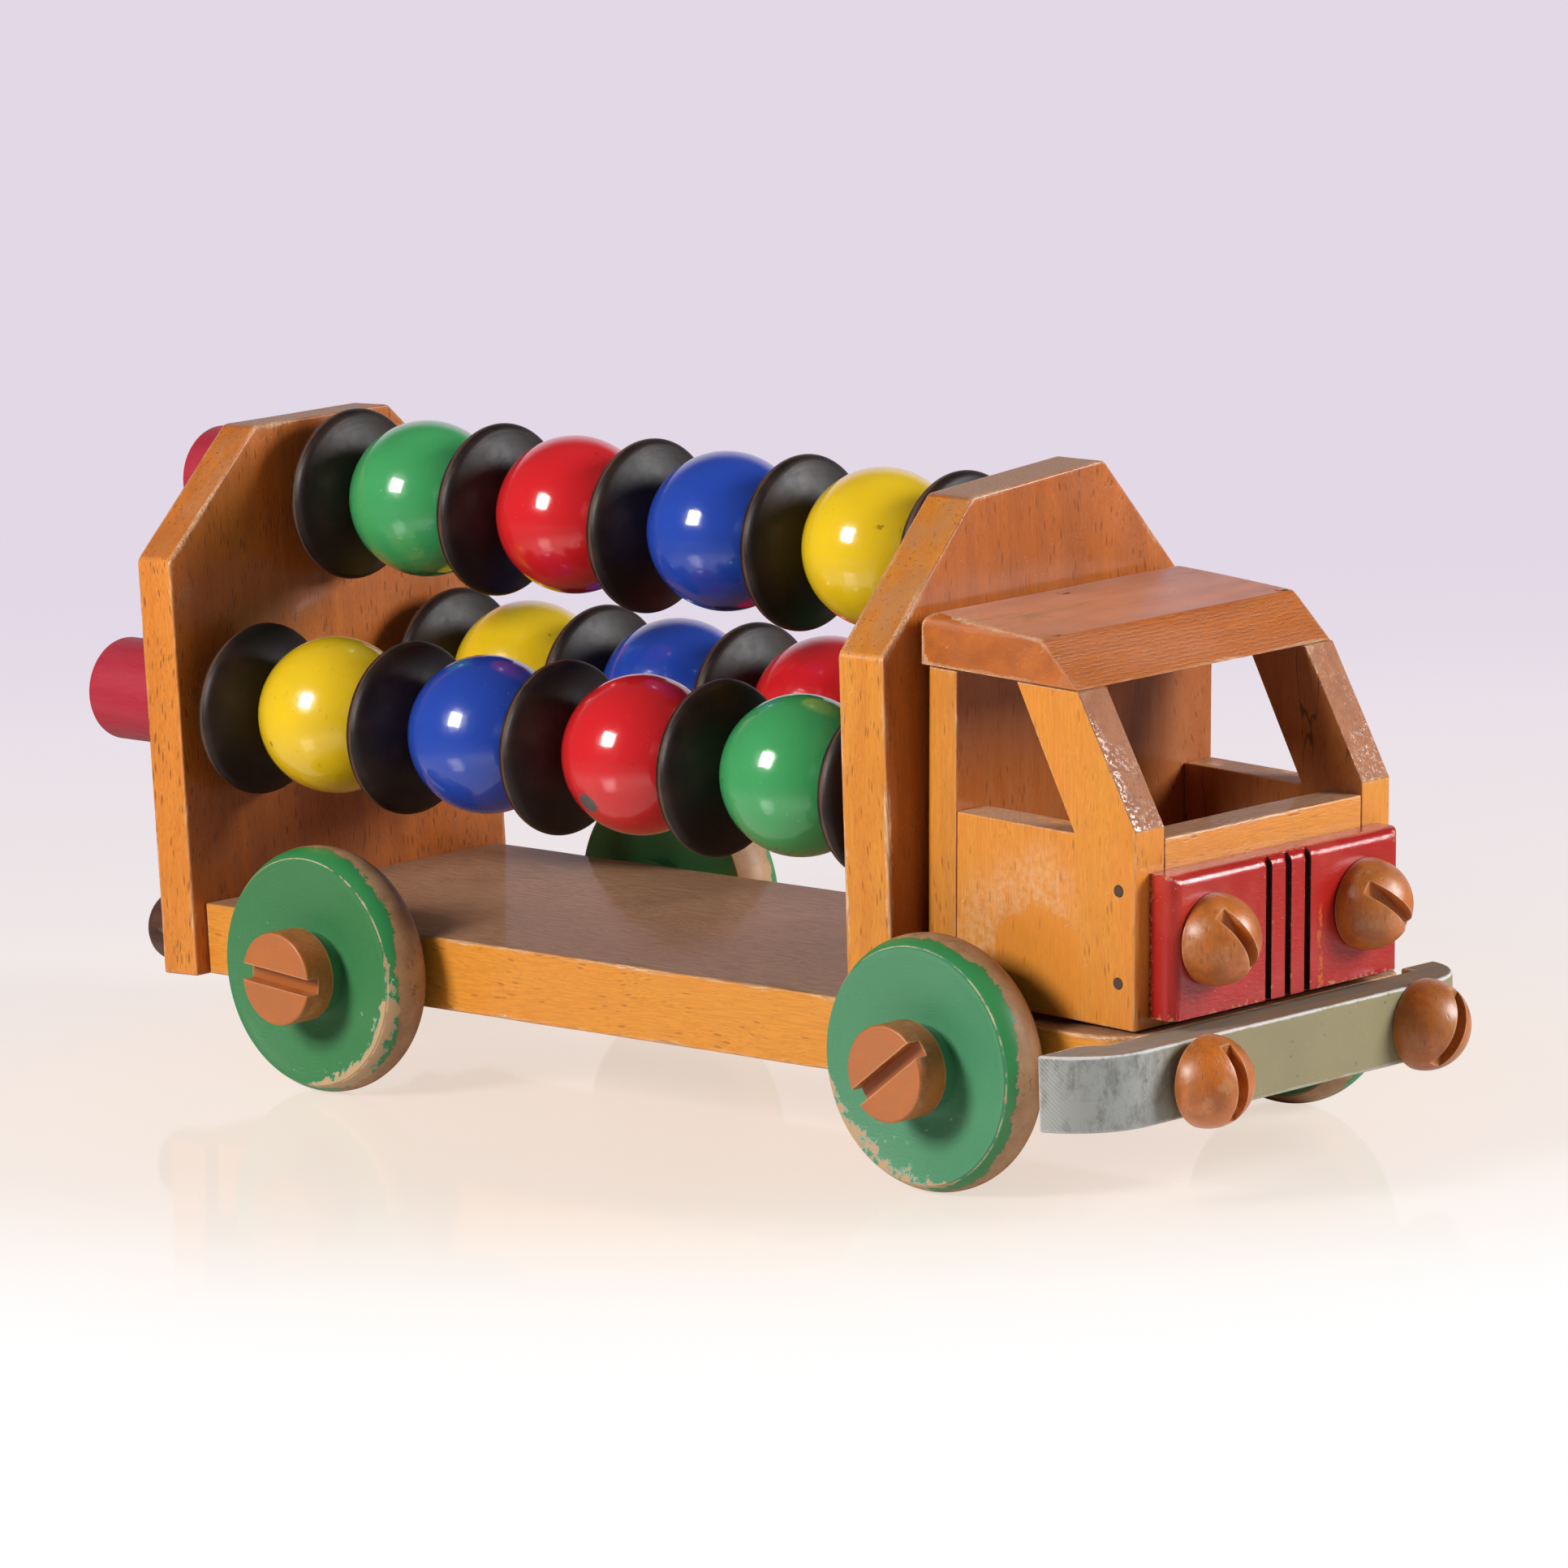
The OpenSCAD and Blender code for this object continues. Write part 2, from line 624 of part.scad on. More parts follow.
module bumper_screw(side) {
    out = head_gap + (side < 0 ? backed_out_screw : 0);
    color(SCREW_BROWN) translate([bumper_front + out, side * bumper_screw_spacing / 2, bumper_screw_z])
        domed_screw(bumper_nose + screw_seat_depth, bumper_slot_angles[side < 0 ? 0 : 1]);
}

// A stained screw with a rounded drum head, pointing along -X
module tail_screw(side) {
    r = tail_head_diameter / 2;
    out = tail_rear(bed_middle + r) + head_gap;
    color(STAIN_BROWN) translate([bed_rear - out, side * tail_screw_spacing / 2, bed_middle])
        rotate([0, -90, 0]) {
            translate([0, 0, -out - screw_seat_depth]) cylinder(h = out + screw_seat_depth + past,
                d = screw_diameter);
            difference() {
                rotate_extrude() polygon(rounded([
                    [0, 0, 0], [r, 0, 0], [r, tail_head_height, r / 3], [0, tail_head_height, 0]
                ]));
                translate([0, 0, tail_head_height - bolt_slot_depth / 2])
                    rotate(tail_slot_angles[side < 0 ? 0 : 1])
                        translate([-r * 2, -dome_slot_width / 2, 0])
                            cube([r * 4, dome_slot_width, bolt_slot_depth]);
            }
        }
}

module cab_back_panel() {
    half = cab_width / 2;
    color(BEECH) difference() {
        in_cab() linear_extrude(roof_height) polygon(rounded([
            [-cab_length + back_thickness, -half, 0], [-cab_length + back_thickness, half, 0],
            [-cab_length, half, back_edge_radius], [-cab_length, -half, back_edge_radius]
        ]));
        cab_floor_nails(nail_clearance);
        in_cab() roof_nails_in_cab(nail_clearance);
    }
}

module cab_side(side) {
    rear = -cab_length + back_thickness;
    color(BEECH) difference() {
        in_cab() extrude_y(side_thickness, side * side_middle) polygon([
            [rear, 0], [0, 0], [0, pillar_foot_height], [-pillar_top_inset, roof_height],
            [-window_top_inset, roof_height], [-window_foot_inset, sill_height], [rear, sill_height]
        ]);
        cab_floor_nails(nail_clearance);
        in_cab() side_nails_in_cab(nail_clearance);
        in_cab() roof_nails_in_cab(nail_clearance);
    }
}

module cab_cowl() {
    color(BEECH) in_cab() difference() {
        translate([-cowl_thickness, -cab_inner, 0]) cube([cowl_thickness, cab_inner * 2, cowl_height]);
        headlight_seats();
        side_nails_in_cab(nail_clearance);
    }
}

module cab_roof() {
    half = (cab_width - roof_inset) / 2;
    rear = -cab_length - roof_overhang;
    top = roof_rear_thickness;
    r = roof_rounding;
    color(BEECH) in_cab() difference() {
        translate([0, 0, roof_height]) intersection() {
            extrude_y(cab_width) polygon(rounded([
                [rear, 0, 0], [-roof_lip_inset, 0, 0], [-roof_break_inset, roof_front_thickness, r / 2],
                [rear, top, r]
            ]));
            translate([rear - past, 0, 0]) extrude_x(cab_length) polygon(rounded([
                [-half, 0, 0], [half, 0, 0], [half, top, r], [-half, top, r]
            ]));
        }
        roof_nails_in_cab(nail_clearance);
    }
}

module grille_plate() {
    half = grille_width / 2;
    top = grille_foot + grille_height;
    r = grille_rounding;
    color(GRILLE_RED) in_cab() difference() {
        intersection() {
            linear_extrude(top + past) polygon(rounded([
                [0, -half, 0], [grille_thickness, -half, r], [grille_thickness, half, r], [0, half, 0]
            ]));
            extrude_y(grille_width + past) polygon(rounded([
                [0, grille_foot, 0], [grille_thickness, grille_foot, 0], [grille_thickness, top, r],
                [0, top, 0]
            ]));
        }
        for (k = [-1:1])
            translate([grille_thickness - groove_depth, k * groove_pitch - groove_width / 2, 0])
                cube([groove_depth + past, groove_width, top + past]);
        headlight_seats();
    }
}

module bumper() {
    half = bumper_length / 2;
    end = half - bumper_end_radius;
    color(BUMPER_GREY) translate([0, 0, bed_bottom]) difference() {
        translate([0, -bumper_shift, 0]) linear_extrude(bed_thickness) difference() {
            intersection() {
                translate([bumper_rear, -half]) square([bumper_depth, bumper_length]);
                union() {
                    translate([bumper_front - bumper_end_radius * 2, -end])
                        square([bumper_end_radius * 2, end * 2]);
                    for (side = [-1, 1])
                        translate([bumper_front - bumper_end_radius, side * end]) circle(r = bumper_end_radius);
                }
            }
            polygon([
                [bumper_rear - past, -bed_width / 2 - rebate_gap - rebate_slant - past],
                [bed_front, -bed_width / 2 - rebate_gap],
                [bed_front, bed_width / 2 + bumper_shift + rebate_gap],
                [bumper_rear - past, bed_width / 2 + bumper_shift + rebate_gap]
            ]);
        }
        translate([0, 0, -bed_bottom]) bumper_screw_seats();
    }
}

function ball_name(row, i) = str(ROWS[row], "_ball_", i + 1, "_", BALL_COLOURS[row][i]);
function disc_name(row, i) = str(ROWS[row], "_disc_", i + 1);
last_ball = balls_per_row - 1;

bed();
tailboard();
bulkhead();
cab_back_panel();
cab_side(-1);  // cab_side_right
cab_side(1);  // cab_side_left
cab_cowl();
cab_roof();
grille_plate();
headlight_screw(-1);  // headlight_screw_right
headlight_screw(1);  // headlight_screw_left
bumper();
bumper_screw(-1);  // bumper_screw_right
bumper_screw(1);  // bumper_screw_left
tail_screw(-1);  // tail_screw_right
tail_screw(1);  // tail_screw_left
color(STEEL) bulkhead_nails();
color(STEEL) cab_floor_nails();
color(STEEL) in_cab() side_nails_in_cab();  // cab_side_nails
color(STEEL) in_cab() roof_nails_in_cab();  // roof_nails
for (i = [0:3]) {
    wheel(i);
    wheel_bolt(i);
}
for (row = [0:2]) {
    bead_rod(row);
    for (i = [0:last_ball])
        ball(row, i, BALL_COLOURS[row][i]);
    for (i = [0:balls_per_row])
        disc(row, i);
}
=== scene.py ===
import json
import math

import bmesh
import bpy
import numpy as np
from bpy.props import FloatProperty, FloatVectorProperty, IntProperty, PointerProperty
from mathutils import Matrix, Vector, noise


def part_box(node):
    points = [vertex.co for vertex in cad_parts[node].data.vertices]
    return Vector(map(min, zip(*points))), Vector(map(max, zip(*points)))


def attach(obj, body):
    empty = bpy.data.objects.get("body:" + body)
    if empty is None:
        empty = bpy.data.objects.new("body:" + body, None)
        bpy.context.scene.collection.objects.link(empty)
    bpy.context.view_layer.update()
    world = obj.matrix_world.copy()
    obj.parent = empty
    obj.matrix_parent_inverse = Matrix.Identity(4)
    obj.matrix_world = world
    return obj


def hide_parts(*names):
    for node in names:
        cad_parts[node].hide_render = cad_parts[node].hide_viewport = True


bl_info = {
    "name": "Wooden toy truck finish",
    "version": (1, 0, 0),
    "blender": (4, 5, 0),
    "location": "3D View > Sidebar > Toy truck",
    "description": "Gives a wooden toy truck its grain, paint, varnish and wear",
    "category": "Object",
}

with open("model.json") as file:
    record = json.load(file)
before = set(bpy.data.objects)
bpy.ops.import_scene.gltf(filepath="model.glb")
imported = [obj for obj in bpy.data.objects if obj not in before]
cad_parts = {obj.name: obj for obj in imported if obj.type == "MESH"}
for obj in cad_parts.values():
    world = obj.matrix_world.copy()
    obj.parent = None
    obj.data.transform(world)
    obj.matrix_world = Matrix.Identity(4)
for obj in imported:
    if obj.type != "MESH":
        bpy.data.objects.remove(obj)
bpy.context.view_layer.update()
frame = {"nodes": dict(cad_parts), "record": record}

MM = 0.001
MERGE_WITHIN = 0.002 * MM
FAR_FROM_RIMS = 20 * MM
BODY_OF = {node: body for body, nodes in frame["record"]["behaviour"]["bodies"].items()
           for node in nodes}
SIDES = {"right": -1, "left": 1}
ROWS = ("upper", "right", "left")
AXLES = ("rear", "front")


def tint(code):
    """A scene-linear colour from a six-digit web code."""
    channels = [int(code[i:i + 2], 16) / 255 for i in (0, 2, 4)]
    return tuple(c / 12.92 if c <= 0.04045 else ((c + 0.055) / 1.055) ** 2.4 for c in channels)


def colour(name, about, code):
    return FloatVectorProperty(name=name, description=about, subtype="COLOR", size=3, min=0, max=1,
                               default=tint(code))


def length(name, about, millimetres):
    return FloatProperty(name=name, description=about, default=millimetres * MM, precision=5,
                         subtype="DISTANCE", unit="LENGTH")


def angle(name, about, degrees):
    return FloatProperty(name=name, description=about, default=math.radians(degrees), subtype="ANGLE",
                         unit="ROTATION")


def share(name, about, default):
    return FloatProperty(name=name, description=about, default=default, min=0, max=1, subtype="FACTOR")


class TruckWoodColours(bpy.types.PropertyGroup):
    golden: colour("Golden beech", "Varnished beech where it faces the light", "DC8833")
    amber: colour("Amber beech", "Yellower varnished beech of the cab's sides", "DC9132")
    pillar: colour("Pillar front", "Reddish brown of the cab's leaning front faces", "9A5622")
    russet: colour("Russet beech", "Deep red-brown of the boards' broad faces", "A4551A")
    orange: colour("Orange beech", "Deeper varnished beech", "C2681F")
    # Also the colour of the painted shade on the inner faces of the cab's sides
    brown: colour("Brown beech", "Varnished beech inside the cab and on the tailboard", "AE6634")
    fleck: colour("Fleck", "Short dark flecks of the grain", "6A3413")
    worn: colour("Worn edge", "Pale wood where edges have lost their varnish", "E3BE95")
    grimed: colour("Grimed top", "Grey-brown wood on worn upper faces", "AA805E")
    turned: colour("Turned screw", "Orange-brown wood of the screws", "A9672F")
    end_grain: colour("End grain", "Orange-brown end grain of the bolt heads", "A86233")
    stained: colour("Tail screw", "Dark brown stain of the tail screws", "553423")
    bare: colour("Bare tread", "Bare beige-brown wood of the tyre treads", "B28C64")
    dark: colour("Disc", "Black-brown stain of the discs", "1B1110")
    dark_rim: colour("Disc rim", "Brown that shows where the discs' rims are rubbed", "6B4A38")


class TruckPaintColours(bpy.types.PropertyGroup):
    yellow: colour("Yellow ball", "Yellow lacquer", "E3BC1C")
    blue: colour("Blue ball", "Blue lacquer", "2444A6")
    red: colour("Red ball", "Red lacquer", "CC1F25")
    green: colour("Green ball", "Green lacquer", "3F9A5A")
    crimson: colour("Rod head", "Crimson stain of the rod heads", "AC1C34")
    grille: colour("Grille plate", "Deep red gloss paint", "AA1F19")
    bumper: colour("Bumper", "Grey-olive paint", "8C8361")
    bumper_end: colour("Bumper end", "Bluish grey of the bumper's ends", "9A9E9F")
    wheel_front: colour("Front wheel", "Bluish green of the front wheels", "488A62")
    wheel_rear: colour("Rear wheel", "Deeper green of the rear wheels", "3A7B49")
    wheel_rim: colour("Wheel rim", "Deep green paint that runs on to the tread", "2F8549")
    primer: colour("Chipped paint", "Pale wood and primer in the chips", "D9C6A0")
    steel: colour("Nail", "Darkened steel of the nail heads", "57504A")


class TruckShape(bpy.types.PropertyGroup):
    board_rounding: length("Board edges", "Rounding of the edges of the boards", 0.7)
    panel_rounding: length("Panel edges", "Rounding of the edges of the cab's panels", 0.5)
    grid_step: length("Grid", "Spacing of the cuts that let the wear follow the edges", 3.0)
    fine_step: length("Fine grid", "Spacing of the cuts on small pieces", 1.5)
    unevenness: length("Unevenness", "Depth of the hand-finished unevenness of the faces", 0.18)
    ball_steps: IntProperty(name="Turning steps", description="Steps round a turned piece", default=96,
                            min=24)
    disc_rim: length("Disc rim", "Rounding of the discs' rims", 2.6)
    rod_radius: length("Rod radius", "Radius of the bead rods", 4.0)
    upper_head: length("Upper head", "Length of the upper rod's head", 28.2)
    lower_head: length("Lower heads", "Length of the lower rods' heads", 31.5)
    head_rounding: length("Head rounding", "Rounding of the rod heads' rims", 2.0)
    wheel_width: length("Wheel width", "Width of a wheel without its hub boss", 13.8)
    tread_radius: length("Tread radius", "Radius of the tread across its width", 10.6)
    tread_inset: length("Tread crown", "Distance from the outer face to the widest line of the tread",
                        7.0)
    dish_depth: length("Dish depth", "Depth of the hollow in the wheels' outer face", 3.2)
    dish_floor: length("Dish floor", "Radius of the level middle of that hollow", 13.0)
    wheel_bore: length("Wheel bore", "Radius of the bore in the wheels", 5.08)
    hub_radius: length("Hub boss", "Radius of the bosses on the wheels' two faces", 10.0)
    bolt_shank: length("Bolt shank", "Radius of the wheel bolts' shanks", 5.0)
    hub_rise: length("Hub rise", "Height of the outer hub boss above the wheel's rim", 1.6)
    bolt_head: length("Bolt head", "Length of the wheel bolts' heads", 9.0)
    bolt_slot: length("Bolt slot", "Width of the slot in the wheel bolts", 4.2)
    bolt_slot_depth: length("Bolt slot depth", "Depth of the slot in the wheel bolts", 3.8)
    screw_shank: length("Screw shank", "Radius of the wooden screws' shanks", 4.0)
    dome_foot: length("Dome foot", "Height of the straight foot under each dome", 0.6)
    dome_slot: length("Dome slot", "Width of the slot in the domed screws", 3.6)
    dome_slot_floor: length("Dome slot floor", "Height of the slot's floor above the dome's base", 6.5)
    tail_head: length("Tail head", "Length of the tail screws' heads", 10.5)
    tail_slot_depth: length("Tail slot", "Depth of the slot in the tail screws", 1.9)
    cab_pitch: angle("Cab pitch", "How far the cab noses down", 2.3)


class TruckWear(bpy.types.PropertyGroup):
    edge_width: FloatProperty(name="Worn edge",
                              description="Width of the pale worn edges, in millimetres", default=0.9,
                              min=0)
    fleck_amount: share("Flecks", "Share of the grain's cells that hold a dark fleck", 0.5)
    varnish_roughness: share("Varnish", "Roughness of the varnish", 0.27)
    lacquer_roughness: share("Lacquer", "Roughness of the balls' lacquer", 0.16)
    chip_reach: FloatProperty(name="Chips",
                              description="How far paint chips reach from an edge, in millimetres",
                              default=2.4, min=0)


class TruckStage(bpy.types.PropertyGroup):
    azimuth: angle("Azimuth", "Turn of the camera round the truck", 43.618)
    elevation: angle("Elevation", "Height of the camera above the horizon", 9.749)
    roll: angle("Roll", "Tilt of the camera", -1.688)
    lens: FloatProperty(name="Lens", description="Focal length in millimetres", default=240.31,
                        unit="CAMERA", subtype="DISTANCE_CAMERA")
    distance: length("Distance", "From the camera to the point it looks at", 2602.4)
    aim: FloatVectorProperty(name="Aim", description="The point that the camera looks at",
                             subtype="TRANSLATION", size=3, unit="LENGTH", default=(0.00839, 0, 0.07868))
    table_radius: length("Table", "Radius of the round table top", 1250)
    backdrop: colour("Backdrop", "Pale lilac-grey behind the table", "E3D8E6")
    table: colour("Table", "White of the table top", "FBF4EF")
    # The warm cream is painted warm light round the truck
    glow: colour("Glow", "Warm cream of the table top round the truck", "FFEEDF")
    table_glow: share("Table glow", "How much the table top shines by itself round the truck", 0.72)
    key_power: FloatProperty(name="Key", description="Power of the square lamp on the left",
                             default=17.0, min=0, unit="POWER")
    side_power: FloatProperty(name="Side",
                              description="Power of the wide lamp on the right, behind the truck",
                              default=18.0, min=0, unit="POWER")
    ambient: FloatProperty(name="Ambient", description="Strength of the light from all round",
                           default=0.11, min=0)
    dark_room: share("Dark room", "Brightness of what the truck reflects away from the backdrop", 0.07)


class TruckLooks(bpy.types.PropertyGroup):
    wood: PointerProperty(type=TruckWoodColours, name="Wood",
                          description="Colours of bare and varnished wood")
    paint: PointerProperty(type=TruckPaintColours, name="Paint",
                           description="Colours of paint and lacquer")
    shape: PointerProperty(type=TruckShape, name="Shape", description="Sizes that the finish needs")
    wear: PointerProperty(type=TruckWear, name="Wear", description="How worn the truck is")
    stage: PointerProperty(type=TruckStage, name="Stage", description="Camera, lamps and table")


def looks():
    return bpy.context.scene.truck_looks


class Nodes:
    """Short ways to add nodes to a tree and to join them up."""

    def __init__(self, tree):
        self.tree = tree

    def add(self, kind, inputs=None, **settings):
        node = self.tree.nodes.new(kind)
        for key, value in settings.items():
            setattr(node, key, value)
        for key, value in (inputs or {}).items():
            self.feed(node.inputs[key], value)
        return node

    def feed(self, socket, value):
        if isinstance(value, bpy.types.NodeSocket):
            self.tree.links.new(value, socket)
        elif socket.type == "RGBA":
            socket.default_value = (*value[:3], 1)
        else:
            socket.default_value = value

    def math(self, operation, *values, clamp=False):
        kind = "ShaderNodeMath"
        return self.add(kind, dict(enumerate(values)), operation=operation, use_clamp=clamp).outputs[0]

    def plus(self, a, b):
        return self.math("ADD", a, b)

    def minus(self, a, b):
        return self.math("SUBTRACT", a, b)

    def times(self, a, b):
        return self.math("MULTIPLY", a, b)

    def vector(self, operation, a, b):
        return self.add("ShaderNodeVectorMath", {0: a, 1: b}, operation=operation).outputs[0]

    def measure(self, operation, *vectors):
        """The number that a vector operation gives, such as a distance or a dot product."""
        kind = "ShaderNodeVectorMath"
        return self.add(kind, dict(enumerate(vectors)), operation=operation).outputs["Value"]

    def combine(self, x=0.0, y=0.0, z=0.0):
        return self.add("ShaderNodeCombineXYZ", {"X": x, "Y": y, "Z": z}).outputs[0]

    def mix(self, factor, a, b):
        return self.add("ShaderNodeMix", {0: factor, 6: a, 7: b}, data_type="RGBA").outputs[2]

    def between(self, factor, a, b):
        """A number that goes from a to b as the factor goes from 0 to 1."""
        return self.add("ShaderNodeMix", {0: factor, 2: a, 3: b}, data_type="FLOAT").outputs[0]

    def mask(self, value, start, end):
        """Goes smoothly from 0 where the value is start to 1 where it is end."""
        inputs = {"Value": value, "From Min": start, "From Max": end}
        return self.add("ShaderNodeMapRange", inputs, interpolation_type="SMOOTHSTEP").outputs[0]

    def noise(self, vector, scale, detail=3.0, roughness=0.55):
        inputs = {"Vector": vector, "Scale": scale, "Detail": detail, "Roughness": roughness}
        return self.add("ShaderNodeTexNoise", inputs).outputs[0]

    def cells(self, vector, scale):
        """Random cells: the distance from the middle of the cell, and the cell's own random number."""
        cells = self.add("ShaderNodeTexVoronoi", {"Vector": vector, "Scale": scale}).outputs
        return cells["Distance"], self.add("ShaderNodeSeparateColor", {0: cells["Color"]}).outputs[0]

    def stretch(self, vector, scale):
        return self.vector("MULTIPLY", vector, scale)

    def group(self, tree, inputs):
        node = self.add(self.tree.bl_idname.replace("NodeTree", "NodeGroup"))
        node.node_tree = tree
        for key, value in inputs.items():
            self.feed(node.inputs[key], value)
        return node


def new_group(name, kind, inputs, outputs):
    """A node group with named sockets. Gives the tree, its node maker and its two ends."""
    tree = bpy.data.node_groups.new(name, kind)
    for label, socket_type, default in inputs:
        socket = tree.interface.new_socket(label, in_out="INPUT", socket_type=socket_type)
        if default is not None:
            socket.default_value = default
    for label, socket_type in outputs:
        tree.interface.new_socket(label, in_out="OUTPUT", socket_type=socket_type)
    nodes = Nodes(tree)
    return tree, nodes, nodes.add("NodeGroupInput").outputs, nodes.add("NodeGroupOutput")


def once(name, make):
    """A node group that is built the first time it is asked for."""
    return bpy.data.node_groups.get(name) or make(name)


FLOAT, VECTOR = "NodeSocketFloat", "NodeSocketVector"


def beech_figure(name):
    """The figure of beech on coordinates in millimetres, with the grain along Z."""
    tree, n, ends, out = new_group(name, "ShaderNodeTree", [
        ("Vector", VECTOR, None), ("Fleck Amount", FLOAT, 0.5), ("Figure", FLOAT, 1.0),
    ], [("Tone", FLOAT), ("Fibre", FLOAT), ("Fleck", FLOAT), ("Height", FLOAT)])
    vector = ends["Vector"]
    sway = n.noise(n.stretch(vector, (0.03, 0.03, 0.012)), 1.0, 2.0)
    bent = n.vector("ADD", vector, n.vector("MULTIPLY", sway, (16.0, 16.0, 0.0)))
    bands = n.noise(n.stretch(bent, (0.16, 0.16, 0.008)), 1.0, 4.0, 0.6)
    patches = n.noise(n.stretch(vector, (0.035, 0.035, 0.018)), 1.0, 2.0)
    tone = n.plus(n.times(bands, 0.65), n.times(patches, 0.35))
    tone = n.mask(n.times(n.minus(tone, 0.5), ends["Figure"]), -0.2, 0.2)
    fibre = n.noise(n.stretch(bent, (2.6, 2.6, 0.11)), 1.0, 3.0, 0.6)
    amount = ends["Fleck Amount"]
    away, luck = n.cells(n.stretch(bent, (0.95, 0.95, 0.17)), 1.0)
    chosen = n.mask(luck, n.minus(1.0, amount), n.minus(1.15, amount))
    fleck = n.times(n.mask(away, 0.34, 0.16), chosen)
    away, luck = n.cells(n.stretch(bent, (1.8, 1.8, 0.42)), 1.0)
    dashes = n.times(n.mask(away, 0.36, 0.14), n.math("LESS_THAN", luck, amount))
    fleck = n.math("MAXIMUM", fleck, n.times(dashes, 0.5))
    pores = n.noise(n.stretch(bent, (5.0, 5.0, 0.35)), 1.0, 2.0, 0.7)
    height = n.minus(n.times(pores, 0.6), n.times(fleck, 0.6))
    for label, value in (("Tone", tone), ("Fibre", fibre), ("Fleck", fleck), ("Height", height)):
        n.feed(out.inputs[label], value)
    return tree


def worn_edge(name):
    """A ragged band along the edges. Edge and Width are in millimetres."""
    tree, n, ends, out = new_group(name, "ShaderNodeTree", [
        ("Vector", VECTOR, None), ("Edge", FLOAT, 9.0), ("Width", FLOAT, 1.0), ("Raggedness", FLOAT, 1.0),
    ], [("Mask", FLOAT)])
    coarse = n.noise(ends["Vector"], 0.09, 2.0)
    fine = n.noise(ends["Vector"], 0.9, 4.0, 0.65)
    wobble = n.plus(n.times(coarse, 2.2), n.times(fine, 1.4))
    wobble = n.times(n.minus(wobble, 1.75), ends["Raggedness"])
    reach = n.times(ends["Width"], n.plus(1.0, wobble))
    mask = n.mask(n.minus(reach, ends["Edge"]), -0.15, 0.45)
    n.feed(out.inputs["Mask"], mask)
    return tree


def paint_loss(name):
    """Islands where paint has flaked off near the edges, and the lip that stands round them."""
    tree, n, ends, out = new_group(name, "ShaderNodeTree", [
        ("Vector", VECTOR, None), ("Edge", FLOAT, 9.0), ("Reach", FLOAT, 2.0), ("Amount", FLOAT, 0.5),
        ("Scale", FLOAT, 0.25),
    ], [("Mask", FLOAT), ("Lip", FLOAT)])
    islands = n.noise(ends["Vector"], ends["Scale"], 5.0, 0.68)
    near = n.math("SUBTRACT", 1.0, n.math("DIVIDE", ends["Edge"], ends["Reach"]), clamp=True)
    value = n.plus(islands, n.times(near, 0.22))
    limit = n.minus(0.86, n.times(ends["Amount"], 0.3))
    value = n.minus(value, limit)
    n.feed(out.inputs["Mask"], n.mask(value, 0.0, 0.012))
    n.feed(out.inputs["Lip"], n.times(n.mask(value, -0.035, -0.005), n.mask(value, 0.012, 0.0)))
    return tree


def specks(name):
    """Scattered small marks."""
    tree, n, ends, out = new_group(name, "ShaderNodeTree", [
        ("Vector", VECTOR, None), ("Scale", FLOAT, 0.2), ("Size", FLOAT, 0.1), ("Amount", FLOAT, 0.4),
    ], [("Mask", FLOAT)])
    ripple = n.stretch(n.noise(ends["Vector"], 1.1, 3.0), (2.2, 1.6, 2.0))
    bent = n.vector("ADD", ends["Vector"], ripple)
    away, luck = n.cells(bent, ends["Scale"])
    dots = n.mask(away, ends["Size"], n.times(ends["Size"], 0.5))
    n.feed(out.inputs["Mask"], n.times(dots, n.math("LESS_THAN", luck, ends["Amount"])))
    return tree


def scratches(name):
    """Thin short lines that run two ways."""
    tree, n, ends, out = new_group(name, "ShaderNodeTree", [
        ("Vector", VECTOR, None), ("Length", FLOAT, 0.12), ("Amount", FLOAT, 0.3),
    ], [("Mask", FLOAT)])
    marks = 0.0
    for turn in ((20, 35, 8), (-35, 12, 60)):
        rotation = [math.radians(a) for a in turn]
        turned = n.add("ShaderNodeMapping", {"Vector": ends["Vector"], "Rotation": rotation})
        away, luck = n.cells(n.stretch(turned.outputs[0], n.combine(ends["Length"], 1.15, 1.15)), 1.0)
        chosen = n.math("LESS_THAN", luck, n.times(ends["Amount"], 0.3))
        marks = n.math("MAXIMUM", marks, n.times(n.mask(away, 0.16, 0.06), chosen))
    patches = n.mask(n.noise(ends["Vector"], 0.06, 2.0), 0.42, 0.6)
    n.feed(out.inputs["Mask"], n.times(marks, patches))
    return tree


